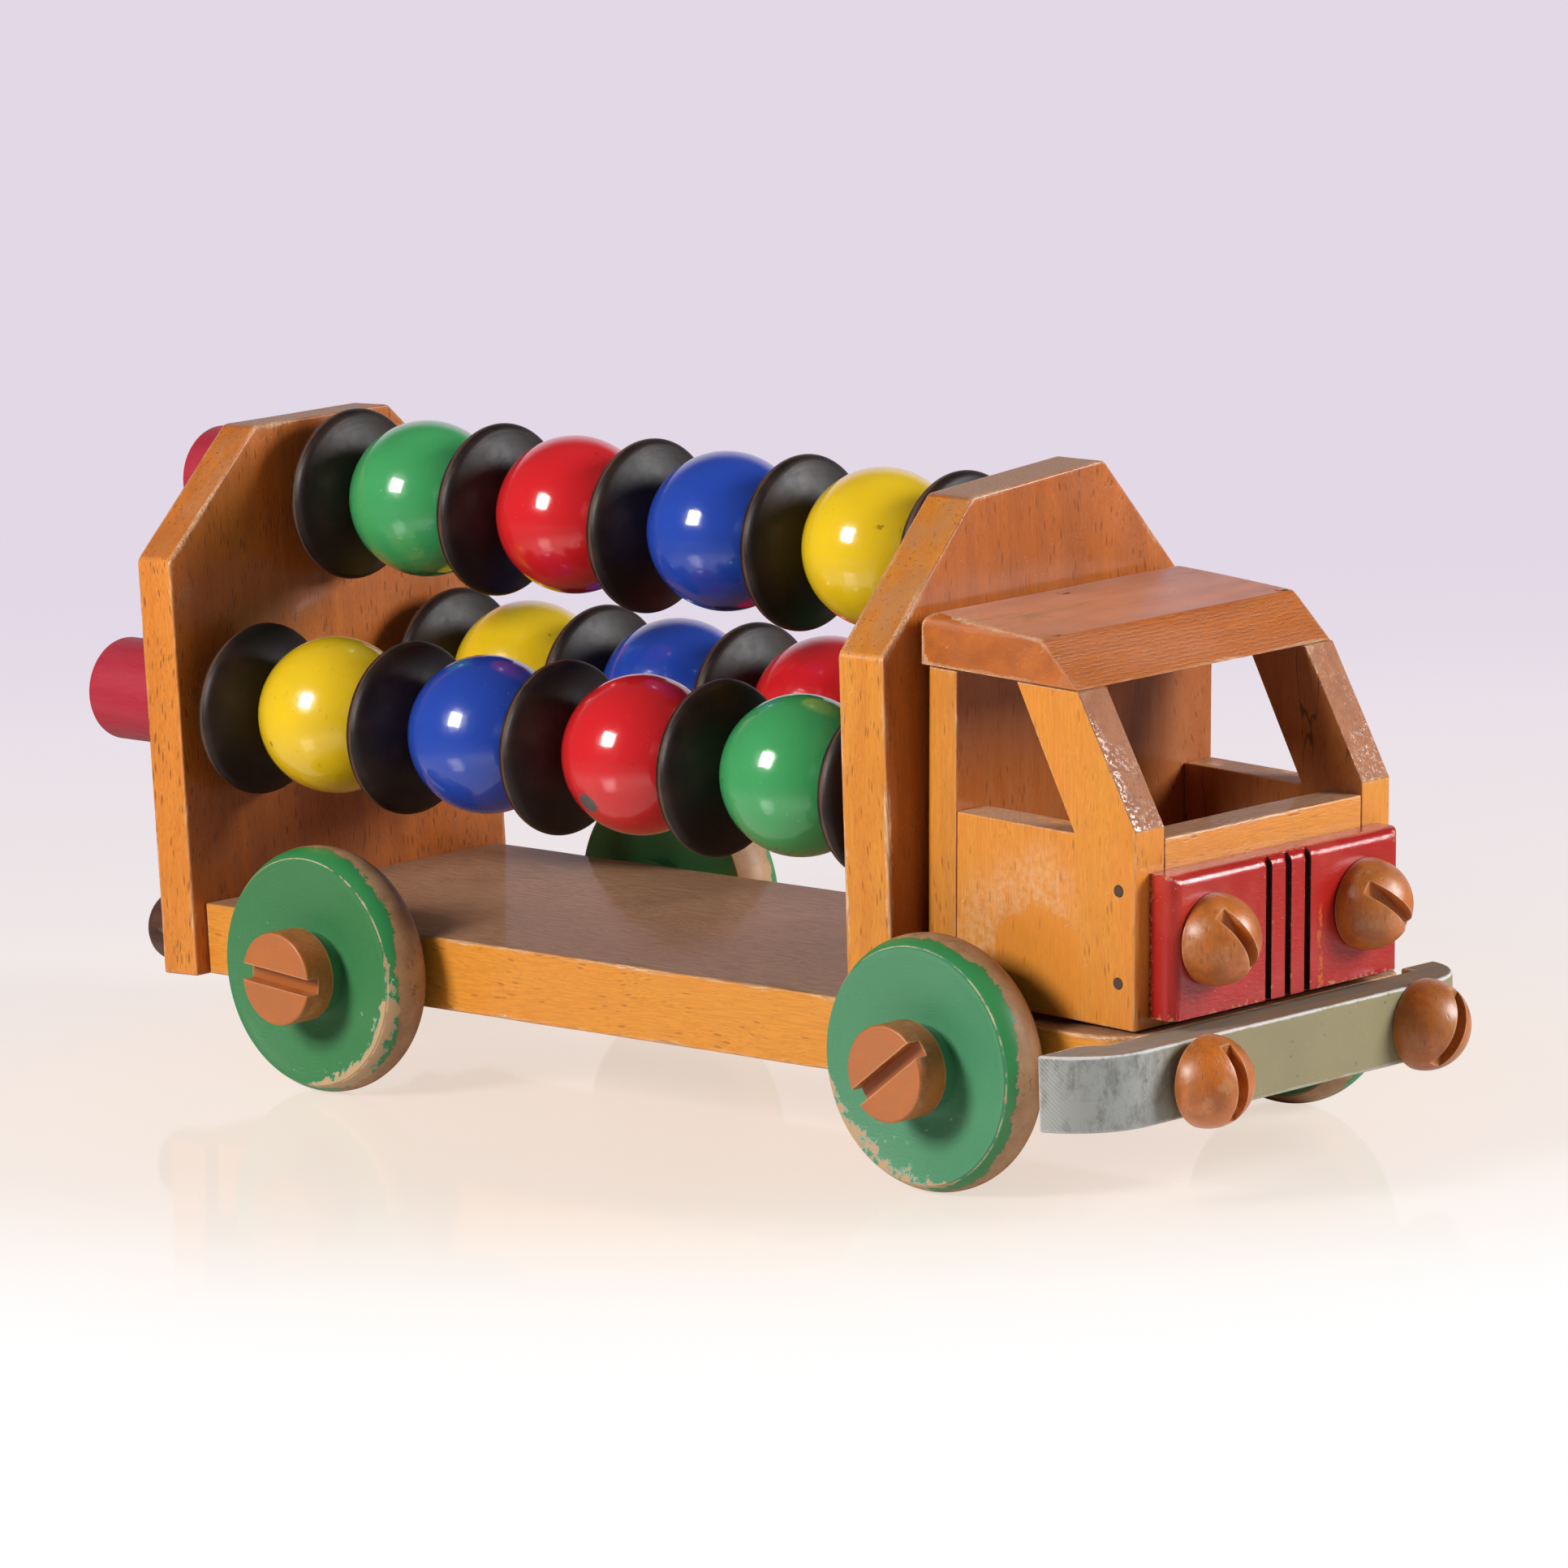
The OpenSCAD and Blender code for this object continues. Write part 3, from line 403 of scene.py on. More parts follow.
class Finish:
    """A material whose maker works in millimetres on the piece's own coordinates."""

    def __init__(self, name, turn=(0, 0, 0), shift=(0, 0, 0)):
        self.material = bpy.data.materials.new(name)
        self.material.use_nodes = True
        self.material.node_tree.nodes.clear()
        self.n = Nodes(self.material.node_tree)
        self.source = self.n.add("ShaderNodeTexCoord")
        rotation = tuple(math.radians(a) for a in turn)
        self.at = self.n.add("ShaderNodeMapping", {
            "Vector": self.source.outputs["Object"], "Location": shift, "Rotation": rotation,
            "Scale": (1 / MM,) * 3}).outputs[0]
        self.plain = self.n.stretch(self.source.outputs["Object"], (1 / MM,) * 3)

    def attribute(self, name):
        return self.n.add("ShaderNodeAttribute", attribute_name=name).outputs["Fac"]

    def normal(self, axis):
        """One part of the face's own direction on the unposed piece."""
        return self.n.add("ShaderNodeSeparateXYZ", {0: self.source.outputs["Normal"]}).outputs[axis]

    def along(self, axis):
        return self.n.add("ShaderNodeSeparateXYZ", {0: self.plain}).outputs[axis]

    def shared(self, name, make, inputs):
        return self.n.group(once(name, make), inputs).outputs

    def figure(self, amount=0.5, figure=1.0):
        return self.shared("Beech figure", beech_figure, {
            "Vector": self.at, "Fleck Amount": amount, "Figure": figure})

    def worn(self, width, raggedness=1.0):
        inputs = {"Vector": self.plain, "Edge": self.attribute("edge"), "Width": width,
                  "Raggedness": raggedness}
        return self.shared("Worn edge", worn_edge, inputs)["Mask"]

    def specked(self, scale, size, amount):
        inputs = {"Vector": self.plain, "Scale": scale, "Size": size, "Amount": amount}
        return self.shared("Specks", specks, inputs)["Mask"]

    def scratched(self, amount):
        return self.shared("Scratches", scratches, {"Vector": self.plain, "Amount": amount})["Mask"]

    def spot(self, centre, radius, ragged=0.5, scale=0.6):
        """A ragged mark at a place on the piece, in millimetres."""
        wobble = self.n.times(self.n.noise(self.plain, scale, 4.0, 0.65), ragged * 2 * radius)
        away = self.n.measure("DISTANCE", self.plain, centre)
        return self.n.mask(self.n.plus(away, wobble), radius * (1 + ragged), radius * (0.75 + ragged))

    def shade(self, base, roughness, height=None, depth=0.1, coat=0.0, **constants):
        """Ends the material with the Principled shader. Depth is the bump's height in millimetres.

        Coat is the clear coat's weight, a number or a value that varies over the piece.
        """
        shader = self.n.add("ShaderNodeBsdfPrincipled")
        self.n.feed(shader.inputs["Base Color"], base)
        self.n.feed(shader.inputs["Roughness"], roughness)
        for label, value in constants.items():
            shader.inputs[label.replace("_", " ").title().replace("Ior", "IOR")].default_value = value
        self.n.feed(shader.inputs["Coat Weight"], coat)
        if height is not None:
            bump = self.n.add("ShaderNodeBump", {"Height": height, "Distance": depth * MM})
            self.n.feed(shader.inputs["Normal"], bump.outputs[0])
        self.n.add("ShaderNodeOutputMaterial", {"Surface": shader.outputs[0]})
        return self.material


# Scene-linear tints that darken, lighten or soil the colours that can be set
VEIN_BROWN = (0.035, 0.018, 0.01)
SPECK_BLACK = (0.02, 0.015, 0.01)
SMUDGE_BROWN = (0.03, 0.02, 0.01)
SCRATCH_WHITE = (0.8, 0.78, 0.74)
CHIP_BLACK = (0.09, 0.07, 0.07)
CRIMSON_SHADE = (0.05, 0.0, 0.01)
CRIMSON_LIGHT = (0.9, 0.3, 0.3)
CRIMSON_RUBBED = (0.75, 0.25, 0.22)
GREEN_SHADE = (0.02, 0.12, 0.05)
GREEN_LIGHT = (0.8, 0.9, 0.8)
GREEN_DARK = (0.01, 0.05, 0.02)
TYRE_DIRT = (0.05, 0.04, 0.035)
RED_SHADE = (0.12, 0.01, 0.01)
RED_LIGHT = (0.9, 0.25, 0.15)
# Painted shade for the grille's grooves
GROOVE_PAINTED_SHADE = (0.008, 0.006, 0.006)
OLIVE_SHADE = (0.12, 0.12, 0.09)
BLUISH_SHADE = (0.05, 0.055, 0.06)
SLATE = (0.17, 0.18, 0.2)
TOP_SHADE = (0.09, 0.075, 0.06)
SAW_MARK = (0.5, 0.5, 0.47)
# Worn edges of the bumper, partly painted highlight
SILVER_WEAR_AND_HIGHLIGHT = (0.62, 0.61, 0.58)
OLIVE_SPECK = (0.09, 0.085, 0.07)
OLIVE_SCRATCH = (0.5, 0.49, 0.44)
RUST = (0.16, 0.07, 0.03)

GRAIN_UP, GRAIN_X, GRAIN_Y = (0, 0, 0), (0, -90, 0), (90, 0, 0)


def varnished_beech(name, light, deep, turn=GRAIN_UP, shift=(0, 0, 0), flecks=0.5, edge=1.0, top=0.0,
                    scuffs=0.0, sides=None, inner=0, front=None, ripple=False, rubbed=None, veins=False):
    """Beech under amber varnish, with pale worn edges, grimed tops and scuffs.

    Sides is the colour of the faces that look sideways. Inner is 1 or -1 where the faces that look to
    +Y or -Y, the inner faces of the cab's sides, are browner and darker: painted shade inside the cab.
    Front is the colour of leaning front faces, whose varnish has wrinkled. Rubbed is a place where a
    milky ring is worn, round a darker disc that is painted shadow of the front wheel. Veins are dark
    lines that wander along the grain.
    """
    wood, wear = looks().wood, looks().wear
    f = Finish(name, turn, shift)
    n = f.n
    figure = f.figure(flecks * wear.fleck_amount * 2)
    base = n.mix(figure["Tone"], deep, light)
    if sides is not None:
        side_tone = n.mix(figure["Tone"], n.mix(0.5, light, sides), sides)
        base = n.mix(n.mask(n.math("ABSOLUTE", f.normal("Y")), 0.6, 0.8), base, side_tone)
    # Inner faces of the cab's sides turn browner and darker: painted shade inside the cab
    if inner:
        inside = n.mask(n.times(f.normal("Y"), float(inner)), 0.6, 0.8)
        base = n.mix(inside, base, n.mix(figure["Tone"], n.mix(0.4, wood.brown, wood.fleck), wood.brown))
    streak = n.mask(figure["Fibre"], 0.38, 0.62)
    base = n.mix(n.times(streak, 0.3), base, n.mix(0.55, base, wood.fleck))
    base = n.mix(n.times(figure["Fleck"], 0.2 + 0.6 * flecks), base, wood.fleck)
    height = figure["Height"]
    gloss = n.noise(f.plain, 0.08, 3.0)
    if veins:
        wander = n.noise(n.stretch(f.at, (0.09, 0.09, 0.016)), 1.0, 4.0)
        wander = n.math("ABSOLUTE", n.minus(wander, 0.5))
        vein = n.times(n.mask(wander, 0.013, 0.005), n.mask(n.noise(f.plain, 0.03, 1.0), 0.42, 0.52))
        base = n.mix(n.times(vein, 0.8), base, VEIN_BROWN)
    roughness = n.between(gloss, wear.varnish_roughness - 0.06, wear.varnish_roughness + 0.16)
    if ripple:
        # Fine wavy lines where the front slope cuts across the growth rings
        sway = n.times(n.noise(n.stretch(f.plain, (0.3, 0.32, 0.3)), 1.0, 3.0, 0.6), 9.0)
        waves = n.math("SINE", n.plus(n.times(f.along("Z"), 7.6), sway))
        gaps = n.mask(n.noise(n.stretch(f.plain, (1.1, 0.5, 1.1)), 1.0, 2.0), 0.38, 0.58)
        slope = n.mask(f.normal("X"), 0.3, 0.5)
        lines = n.times(n.times(n.mask(waves, -0.1, 0.9), slope), gaps)
        base = n.mix(n.times(lines, 0.34), base, wood.fleck)
        height = n.minus(height, n.times(lines, 0.3))
        roughness = n.between(slope, roughness, 0.34)
    coat = 0.2
    if front is not None:
        leaning = n.times(n.mask(f.normal("X"), 0.3, 0.6), n.mask(f.normal("Z"), 0.12, 0.3))
        stain = n.mix(n.mask(n.noise(f.plain, 0.25, 4.0, 0.6), 0.4, 0.65), front,
                      n.mix(0.35, front, wood.fleck))
        base = n.mix(leaning, base, stain)
        wrinkles = n.noise(n.stretch(f.plain, (0.7, 1.0, 0.45)), 1.0, 3.0, 0.6)
        height = n.plus(height, n.times(n.times(wrinkles, leaning), 2.4))
        specks = n.times(n.mask(n.noise(f.plain, 0.9, 3.0, 0.6), 0.5, 0.6),
                         n.mask(n.noise(f.plain, 0.07, 2.0), 0.4, 0.56))
        roughness = n.between(leaning, roughness, n.between(specks, 0.6, 0.1))
        coat = n.between(leaning, coat, specks)
    if top > 0:
        grime = n.noise(n.stretch(f.at, (0.09, 0.09, 0.02)), 1.0, 5.0, 0.62)
        level = n.times(n.mask(f.normal("Z"), 0.82, 0.95),
                        n.mask(grime, 0.6 - 0.5 * top, 0.78 - 0.5 * top))
        slope = n.times(n.mask(f.normal("Z"), 0.3, 0.6), n.mask(grime, 0.4, 0.62))
        base = n.mix(n.times(slope, 0.45 * top), base, wood.grimed)
        grimed = n.mix(streak, wood.grimed, n.mix(0.5, wood.grimed, wood.fleck))
        base = n.mix(n.times(level, 0.92), base, grimed)
        roughness = n.between(level, roughness, 0.78)
    if rubbed is not None:
        away = n.measure("DISTANCE", f.plain, rubbed)
        away = n.plus(away, n.times(n.noise(f.plain, 0.12, 3.0), 8.0))
        ring = n.times(n.mask(away, 17.5, 19.5), n.mask(away, 36.0, 24.0))
        ring = n.times(ring, n.mask(n.noise(f.at, 0.5, 5.0, 0.7), 0.3, 0.7))
        ring = n.times(ring, n.mask(f.along("X"), rubbed[0] + 18, rubbed[0] + 4))
        # Darker disc inside the ring: painted shadow of the front wheel; the milky ring round it is wear
        base = n.mix(n.mask(away, 19.0, 17.0), base, n.mix(0.45, base, deep))
        base = n.mix(n.times(ring, 0.36), base, wood.worn)
        roughness = n.between(ring, roughness, 0.6)
    if scuffs > 0:
        haze = n.times(n.mask(n.noise(f.plain, 0.05, 2.0), 0.52, 0.66),
                       n.mask(n.noise(f.plain, 1.4, 4.0, 0.7), 0.52, 0.66))
        marks = f.scratched(scuffs)
        marks = n.math("MAXIMUM", n.times(haze, 0.2), marks)
        base = n.mix(n.times(marks, 0.3 + 0.5 * scuffs), base, wood.worn)
        roughness = n.between(marks, roughness, 0.55)
    patches = n.between(n.mask(n.noise(f.plain, 0.04, 3.0), 0.42, 0.64), 0.1, 0.72)
    rim = n.times(f.worn(wear.edge_width * edge), patches)
    base = n.mix(rim, base, n.mix(streak, wood.worn, wood.grimed))
    roughness = n.between(rim, roughness, 0.5)
    return f.shade(base, roughness, height, depth=0.12, coat=coat, coat_roughness=0.12)


def turned_wood(name, light, deep, turn=GRAIN_X, shift=(0, 0, 0), ends=None, gloss=0.36, coat=0.25):
    """Varnished turned wood, mottled darker. Ends gives the colour of an end face with faint rings, and
    darkens the slot below it with painted shade.
    """
    wood = looks().wood
    f = Finish(name, turn, shift)
    n = f.n
    figure = f.figure(0.35, 1.3)
    base = n.mix(figure["Tone"], deep, light)
    base = n.mix(n.times(n.mask(figure["Fibre"], 0.4, 0.7), 0.3), base, wood.fleck)
    base = n.mix(n.times(figure["Fleck"], 0.4), base, wood.fleck)
    cloud = n.noise(f.plain, 0.12, 4.0, 0.6)
    base = n.mix(n.times(n.mask(cloud, 0.46, 0.66), 0.7), base, n.mix(0.6, deep, wood.fleck))
    rubbed = n.mask(n.noise(n.vector("ADD", f.plain, (31.0, 7.0, 3.0)), 0.16, 5.0, 0.68), 0.54, 0.68)
    base = n.mix(n.times(rubbed, 0.35), base, n.mix(0.5, light, wood.worn))
    roughness = n.between(cloud, gloss - 0.06, gloss + 0.16)
    if ends is not None:
        radius = n.plus(f.attribute("radius"), n.times(n.noise(f.plain, 0.1, 2.0), 5.0))
        rings = n.math("SINE", n.times(radius, 6.0))
        face = n.mask(n.math("ABSOLUTE", f.normal("Y")), 0.7, 0.95)
        pores = n.mask(n.noise(f.plain, 2.4, 3.0, 0.7), 0.5, 0.7)
        end_tone = n.mix(n.times(n.mask(rings, -1.0, 1.0), 0.28), ends, n.mix(0.6, ends, deep))
        end_tone = n.mix(n.times(pores, 0.3), end_tone, deep)
        end_tone = n.mix(n.times(n.mask(cloud, 0.45, 0.7), 0.35), end_tone, deep)
        base = n.mix(face, base, end_tone)
        roughness = n.between(face, roughness, 0.5)
        # Darker in the slot below the end face: painted shade in the recess
        slot = n.times(n.mask(f.attribute("inset"), 1.6, 3.2), face)
        base = n.mix(n.times(slot, 0.6), base, n.mix(0.5, deep, wood.fleck))
    base = n.mix(n.times(f.worn(0.35), 0.28), base, wood.worn)
    return f.shade(base, roughness, figure["Height"], depth=0.06, coat=coat, coat_roughness=0.3)


def lacquer(name, paint, specked=0.0, chip=None):
    """High gloss ball lacquer with faint marks. A chip is a place, a radius and a colour."""
    wear = looks().wear
    f = Finish(name)
    n = f.n
    cloud = n.noise(f.plain, 0.05, 3.0)
    base = n.mix(n.times(n.mask(cloud, 0.45, 0.8), 0.18), paint, n.mix(0.5, paint, (0, 0, 0)))
    dirt = f.specked(0.16, 0.16, 0.22)
    base = n.mix(n.times(dirt, 0.25 + specked * 0.55), base, n.mix(0.8, paint, SPECK_BLACK))
    if specked > 0:
        smudge = n.times(n.mask(n.noise(f.plain, 0.7, 5.0, 0.7), 0.58, 0.68),
                         n.mask(n.noise(f.plain, 0.11, 2.0), 0.55, 0.65))
        base = n.mix(n.times(smudge, specked * 0.5), base, n.mix(0.7, paint, SMUDGE_BROWN))
    haze = f.scratched(0.5)
    base = n.mix(n.times(haze, 0.25), base, n.mix(0.6, paint, SCRATCH_WHITE))
    height = n.plus(n.noise(f.plain, 0.16, 2.0), n.times(n.noise(f.plain, 1.2, 2.0), 0.03))
    roughness = n.between(n.mask(cloud, 0.4, 0.7), wear.lacquer_roughness, wear.lacquer_roughness + 0.08)
    for centre, radius, inside in chip or []:
        hole = f.spot(centre, radius, 0.45, 0.5)
        base = n.mix(hole, base, inside)
        roughness = n.between(hole, roughness, 0.5)
        height = n.minus(height, n.times(hole, 0.3))
    return f.shade(base, roughness, height, depth=0.16, coat=0.6, coat_roughness=0.07)


def disc_stain(name):
    """Black-brown semi-matte stain, rubbed brown along the rim."""
    wood = looks().wood
    f = Finish(name)
    n = f.n
    turning = n.noise(n.stretch(f.plain, (1.6, 0.12, 0.12)), 1.0, 3.0)
    base = n.mix(n.mask(n.noise(f.plain, 0.09, 3.0), 0.4, 0.75), wood.dark,
                 n.mix(0.12, wood.dark, wood.dark_rim))
    dust = f.specked(0.5, 0.12, 0.2)
    base = n.mix(n.times(dust, 0.25), base, wood.dark_rim)
    marks = f.scratched(0.6)
    base = n.mix(n.times(marks, 0.3), base, wood.dark_rim)
    rim = f.worn(0.5, 0.7)
    base = n.mix(n.times(rim, 0.6), base, wood.dark_rim)
    roughness = n.between(n.noise(f.plain, 0.3, 4.0, 0.6), 0.36, 0.58)
    return f.shade(base, roughness, turning, depth=0.06, specular_ior_level=0.34)


def rod_stain(name, shift=(0, 0, 0)):
    """Matte crimson stain on the rod heads, a little lighter along their rims."""
    paint = looks().paint
    f = Finish(name, GRAIN_X, shift)
    n = f.n
    figure = f.figure(0.5)
    base = n.mix(n.times(n.mask(figure["Fibre"], 0.35, 0.65), 0.3), paint.crimson,
                 n.mix(0.55, paint.crimson, CRIMSON_SHADE))
    base = n.mix(n.times(figure["Tone"], 0.18), base, n.mix(0.4, paint.crimson, CRIMSON_LIGHT))
    base = n.mix(n.times(f.worn(0.6), 0.4), base, CRIMSON_RUBBED)
    return f.shade(base, n.between(figure["Fibre"], 0.38, 0.6), figure["Height"], depth=0.08)


def chipped_paint(f, base, bare, reach, amount, scale):
    """Lays chips over a paint colour. Gives the colour, the chips and the height."""
    n = f.n
    loss = f.shared("Paint loss", paint_loss, {
        "Vector": f.plain, "Edge": f.attribute("edge"), "Reach": reach, "Amount": amount, "Scale": scale})
    base = n.mix(loss["Mask"], base, bare)
    base = n.mix(n.times(loss["Lip"], 0.35), base, n.mix(0.6, bare, (1, 1, 1)))
    return base, loss["Mask"], n.times(loss["Mask"], -0.6)


def wheel_paint(name, face_colour, centre, chips_toward, spread, shift=(0, 0, 0)):
    """Green paint on the face and the outer tread, with a jagged border to the bare tread.

    The face's rim is chipped most in the direction chips_toward, an angle from the front over the top.
    Spread, in millimetres, takes the paint further across the tread.
    """
    paint, wood, wear = looks().paint, looks().wood, looks().wear
    f = Finish(name, GRAIN_X, shift)
    n = f.n
    drift = n.vector("ADD", f.plain, shift)
    inset = f.attribute("inset")
    radius = f.attribute("radius")
    cloud = n.noise(drift, 0.05, 3.0)
    green = n.mix(n.times(cloud, 0.35), face_colour, n.mix(0.5, face_colour, GREEN_SHADE))
    rings = n.math("SINE", n.plus(n.times(radius, 5.5), n.times(cloud, 3.0)))
    brushed = n.times(n.mask(rings, 0.4, 1.0), n.mask(n.noise(drift, 0.3, 3.0), 0.45, 0.7))
    green = n.mix(n.times(brushed, 0.05), green, n.mix(0.4, face_colour, GREEN_LIGHT))
    scuffed = n.times(n.mask(n.noise(drift, 0.7, 5.0, 0.7), 0.56, 0.7),
                      n.mask(n.noise(drift, 0.07, 2.0), 0.5, 0.62))
    green = n.mix(n.times(scuffed, 0.4), green, n.mix(0.5, face_colour, GREEN_DARK))
    outer = n.mask(f.attribute("edge"), 0.25, 0.6)
    tread = n.times(outer, n.mask(radius, 28.4, 28.7))
    green = n.mix(tread, green, paint.wheel_rim)
    a = math.radians(chips_toward)
    from_hub = n.vector("SUBTRACT", f.plain, centre)
    toward = n.measure("DOT_PRODUCT", from_hub, (math.cos(a), 0, math.sin(a)))
    band = n.mask(toward, 15.0, 27.0)
    reach = n.between(band, 0.6, wear.chip_reach * 2)
    amount = n.between(band, 0.42, 0.86)
    primed = n.mix(0.85, paint.primer, wood.bare)
    green, chips, height = chipped_paint(f, green, primed, reach, amount, 0.2)
    fringe = n.plus(n.times(n.noise(drift, 0.3, 6.0, 0.76), 6.5),
                    n.times(n.noise(drift, 0.04, 1.0), 6.5))
    border = n.minus(n.plus(inset, 2.7 - spread), fringe)
    bare = n.times(n.mask(border, 0.0, 0.1), n.mask(radius, 28.3, 28.6))
    figure = f.figure(0.6)
    tyre = n.mix(n.mask(n.noise(drift, 0.16, 5.0, 0.66), 0.38, 0.62), n.mix(0.3, wood.bare, wood.fleck),
                 wood.bare)
    tyre = n.mix(n.times(n.mask(figure["Fibre"], 0.35, 0.7), 0.3), tyre, wood.grimed)
    dirt = n.times(n.mask(n.noise(drift, 0.5, 6.0, 0.76), 0.52, 0.68),
                   n.mask(n.noise(drift, 0.06, 2.0), 0.48, 0.6))
    tyre = n.mix(n.times(dirt, 0.7), tyre, TYRE_DIRT)
    base = n.mix(bare, green, tyre)
    line = n.times(n.mask(f.attribute("edge"), 0.3, 0.08), n.mask(n.noise(drift, 0.2, 4.0), 0.42, 0.56))
    base = n.mix(n.times(line, 0.7), base, paint.primer)
    roughness = n.between(n.math("MAXIMUM", bare, chips), n.between(cloud, 0.36, 0.52), 0.62)
    height = n.plus(height, n.times(bare, -0.5))
    height = n.plus(height, n.times(figure["Height"], 0.35))
    return f.shade(base, roughness, height, depth=0.12, coat=0.1, coat_roughness=0.28)


def grille_paint(name):
    """Deep red gloss paint over the grain, wrinkled on the rounded top edge, with orange marks."""
    paint, wood = looks().paint, looks().wood
    f = Finish(name, GRAIN_Y)
    n = f.n
    figure = f.figure(0.4)
    base = n.mix(n.times(n.mask(figure["Fibre"], 0.35, 0.7), 0.3), paint.grille,
                 n.mix(0.6, paint.grille, RED_SHADE))
    base = n.mix(n.times(n.mask(n.noise(f.plain, 0.06, 2.0), 0.45, 0.7), 0.25), base,
                 n.mix(0.35, paint.grille, RED_LIGHT))
    amount = n.between(n.mask(n.math("ABSOLUTE", f.along("Y")), 9.0, 12.0), 0.1, 0.46)
    base, chips, height = chipped_paint(f, base, n.mix(0.12, wood.orange, wood.worn), 2.0, amount, 0.7)
    marks = f.scratched(0.9)
    base = n.mix(n.times(marks, 0.6), base, n.mix(0.5, wood.orange, paint.grille))
    low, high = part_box("grille_plate")
    streak = n.plus(f.along("Y"), n.times(n.noise(f.plain, 0.2, 3.0), 5.0))
    streak = n.times(n.mask(n.math("ABSOLUTE", n.minus(streak, 14.5)), 0.7, 0.3),
                     n.mask(f.along("Z"), (low.z + high.z) / 2 / MM + 4.0, (low.z + high.z) / 2 / MM))
    streak = n.times(streak, n.mask(n.noise(f.plain, 0.9, 3.0), 0.4, 0.55))
    base = n.mix(n.times(streak, 0.8), base, wood.orange)
    rim = n.times(n.mask(f.attribute("edge"), 4.2, 1.0), n.mask(f.normal("Z"), 0.15, 0.5))
    roughness = n.between(rim, n.between(n.noise(f.plain, 0.4, 4.0), 0.14, 0.28), 0.08)
    roughness = n.between(n.math("MAXIMUM", chips, marks), roughness, 0.6)
    lumps = n.times(n.noise(n.stretch(f.plain, (0.5, 0.5, 1.2)), 1.0, 4.0, 0.6), 0.9)
    wrinkles = n.times(n.noise(f.plain, 0.9, 3.0, 0.6), n.times(rim, 2.4))
    height = n.plus(n.plus(height, lumps), n.plus(wrinkles, n.times(figure["Height"], 0.3)))
    return f.shade(base, roughness, height, coat=0.35, coat_roughness=0.1)


def painted_groove_shade(name):
    """Painted shade inside the grille's grooves: near black, with flecks of the grille's red."""
    f = Finish(name)
    n = f.n
    flake = n.mask(n.noise(f.plain, 1.1, 4.0, 0.7), 0.6, 0.66)
    # Near-black painted shade on the groove walls and floor
    base = n.mix(flake, GROOVE_PAINTED_SHADE, looks().paint.grille)
    return f.shade(base, n.between(flake, 0.7, 0.3), n.noise(f.plain, 1.2, 3.0))


def bumper_paint(name):
    """Grey-olive paint, silvery along the worn edges with a painted highlight strongest on the top edge,
    brown-grey on top, mottled bluish at the right end.
    """
    paint, wood = looks().paint, looks().wood
    f = Finish(name, GRAIN_Y)
    n = f.n
    cloud = n.noise(f.plain, 0.045, 4.0, 0.6)
    base = n.mix(n.times(n.mask(cloud, 0.35, 0.75), 0.35), paint.bumper,
                 n.mix(0.45, paint.bumper, OLIVE_SHADE))
    mottle = n.noise(n.stretch(f.plain, (0.3, 0.3, 0.16)), 1.0, 6.0, 0.74)
    near_end = n.mask(n.plus(f.along("Y"), n.times(mottle, 22.0)), -30.0, -50.0)
    bluish = n.mix(n.mask(mottle, 0.44, 0.7), paint.bumper_end,
                   n.mix(0.6, paint.bumper_end, BLUISH_SHADE))
    base = n.mix(n.times(near_end, 0.85), base, bluish)
    upper = n.mask(f.normal("Z"), 0.5, 0.85)
    worn_top = n.mix(n.mask(n.noise(n.stretch(f.plain, (0.5, 0.06, 0.5)), 1.0, 4.0), 0.35, 0.65),
                     wood.grimed, n.mix(0.6, wood.grimed, SLATE))
    base = n.mix(n.times(upper, 0.85), base, n.mix(0.45, worn_top, TOP_SHADE))
    end_face = n.mask(f.normal("Y"), -0.8, -0.95)
    saw = n.math("SINE", n.times(n.plus(f.along("X"), f.along("Z")), 5.4))
    lines = n.times(n.mask(saw, 0.0, 0.9), end_face)
    base = n.mix(n.times(lines, 0.35), base, SAW_MARK)
    # Silver along the worn edges is wear; where the edge faces up it is made stronger, a painted highlight
    worn_edge_and_highlight = n.times(f.worn(0.8, 0.8), n.between(n.mask(f.normal("Z"), 0.0, 0.3), 0.35, 0.9))
    base = n.mix(worn_edge_and_highlight, base, SILVER_WEAR_AND_HIGHLIGHT)
    dark = f.specked(0.2, 0.12, 0.35)
    base = n.mix(n.times(dark, 0.5), base, OLIVE_SPECK)
    marks = f.scratched(0.9)
    base = n.mix(n.times(marks, 0.5), base, OLIVE_SCRATCH)
    height = n.plus(n.times(n.noise(f.plain, 0.6, 4.0), 0.6), n.times(lines, 0.5))
    roughness = n.between(upper, n.between(cloud, 0.38, 0.6), 0.85)
    return f.shade(base, roughness, height, specular_ior_level=0.3)


def nail_steel(name):
    """Darkened nail heads with a little rust."""
    f = Finish(name)
    n = f.n
    rust = n.mask(n.noise(f.plain, 1.6, 4.0), 0.45, 0.65)
    base = n.mix(rust, looks().paint.steel, RUST)
    return f.shade(base, n.between(rust, 0.42, 0.7), n.noise(f.plain, 2.0, 3.0), depth=0.06,
                   metallic=0.7)


def merged_copy(node):
    """A CAD node's mesh with its loose triangles joined and its flat faces made whole."""
    mesh = bmesh.new()
    mesh.from_mesh(frame["nodes"][node].data)
    bmesh.ops.remove_doubles(mesh, verts=mesh.verts, dist=MERGE_WITHIN)
    bmesh.ops.dissolve_limit(mesh, angle_limit=math.radians(0.2), verts=mesh.verts, edges=mesh.edges)
    return mesh


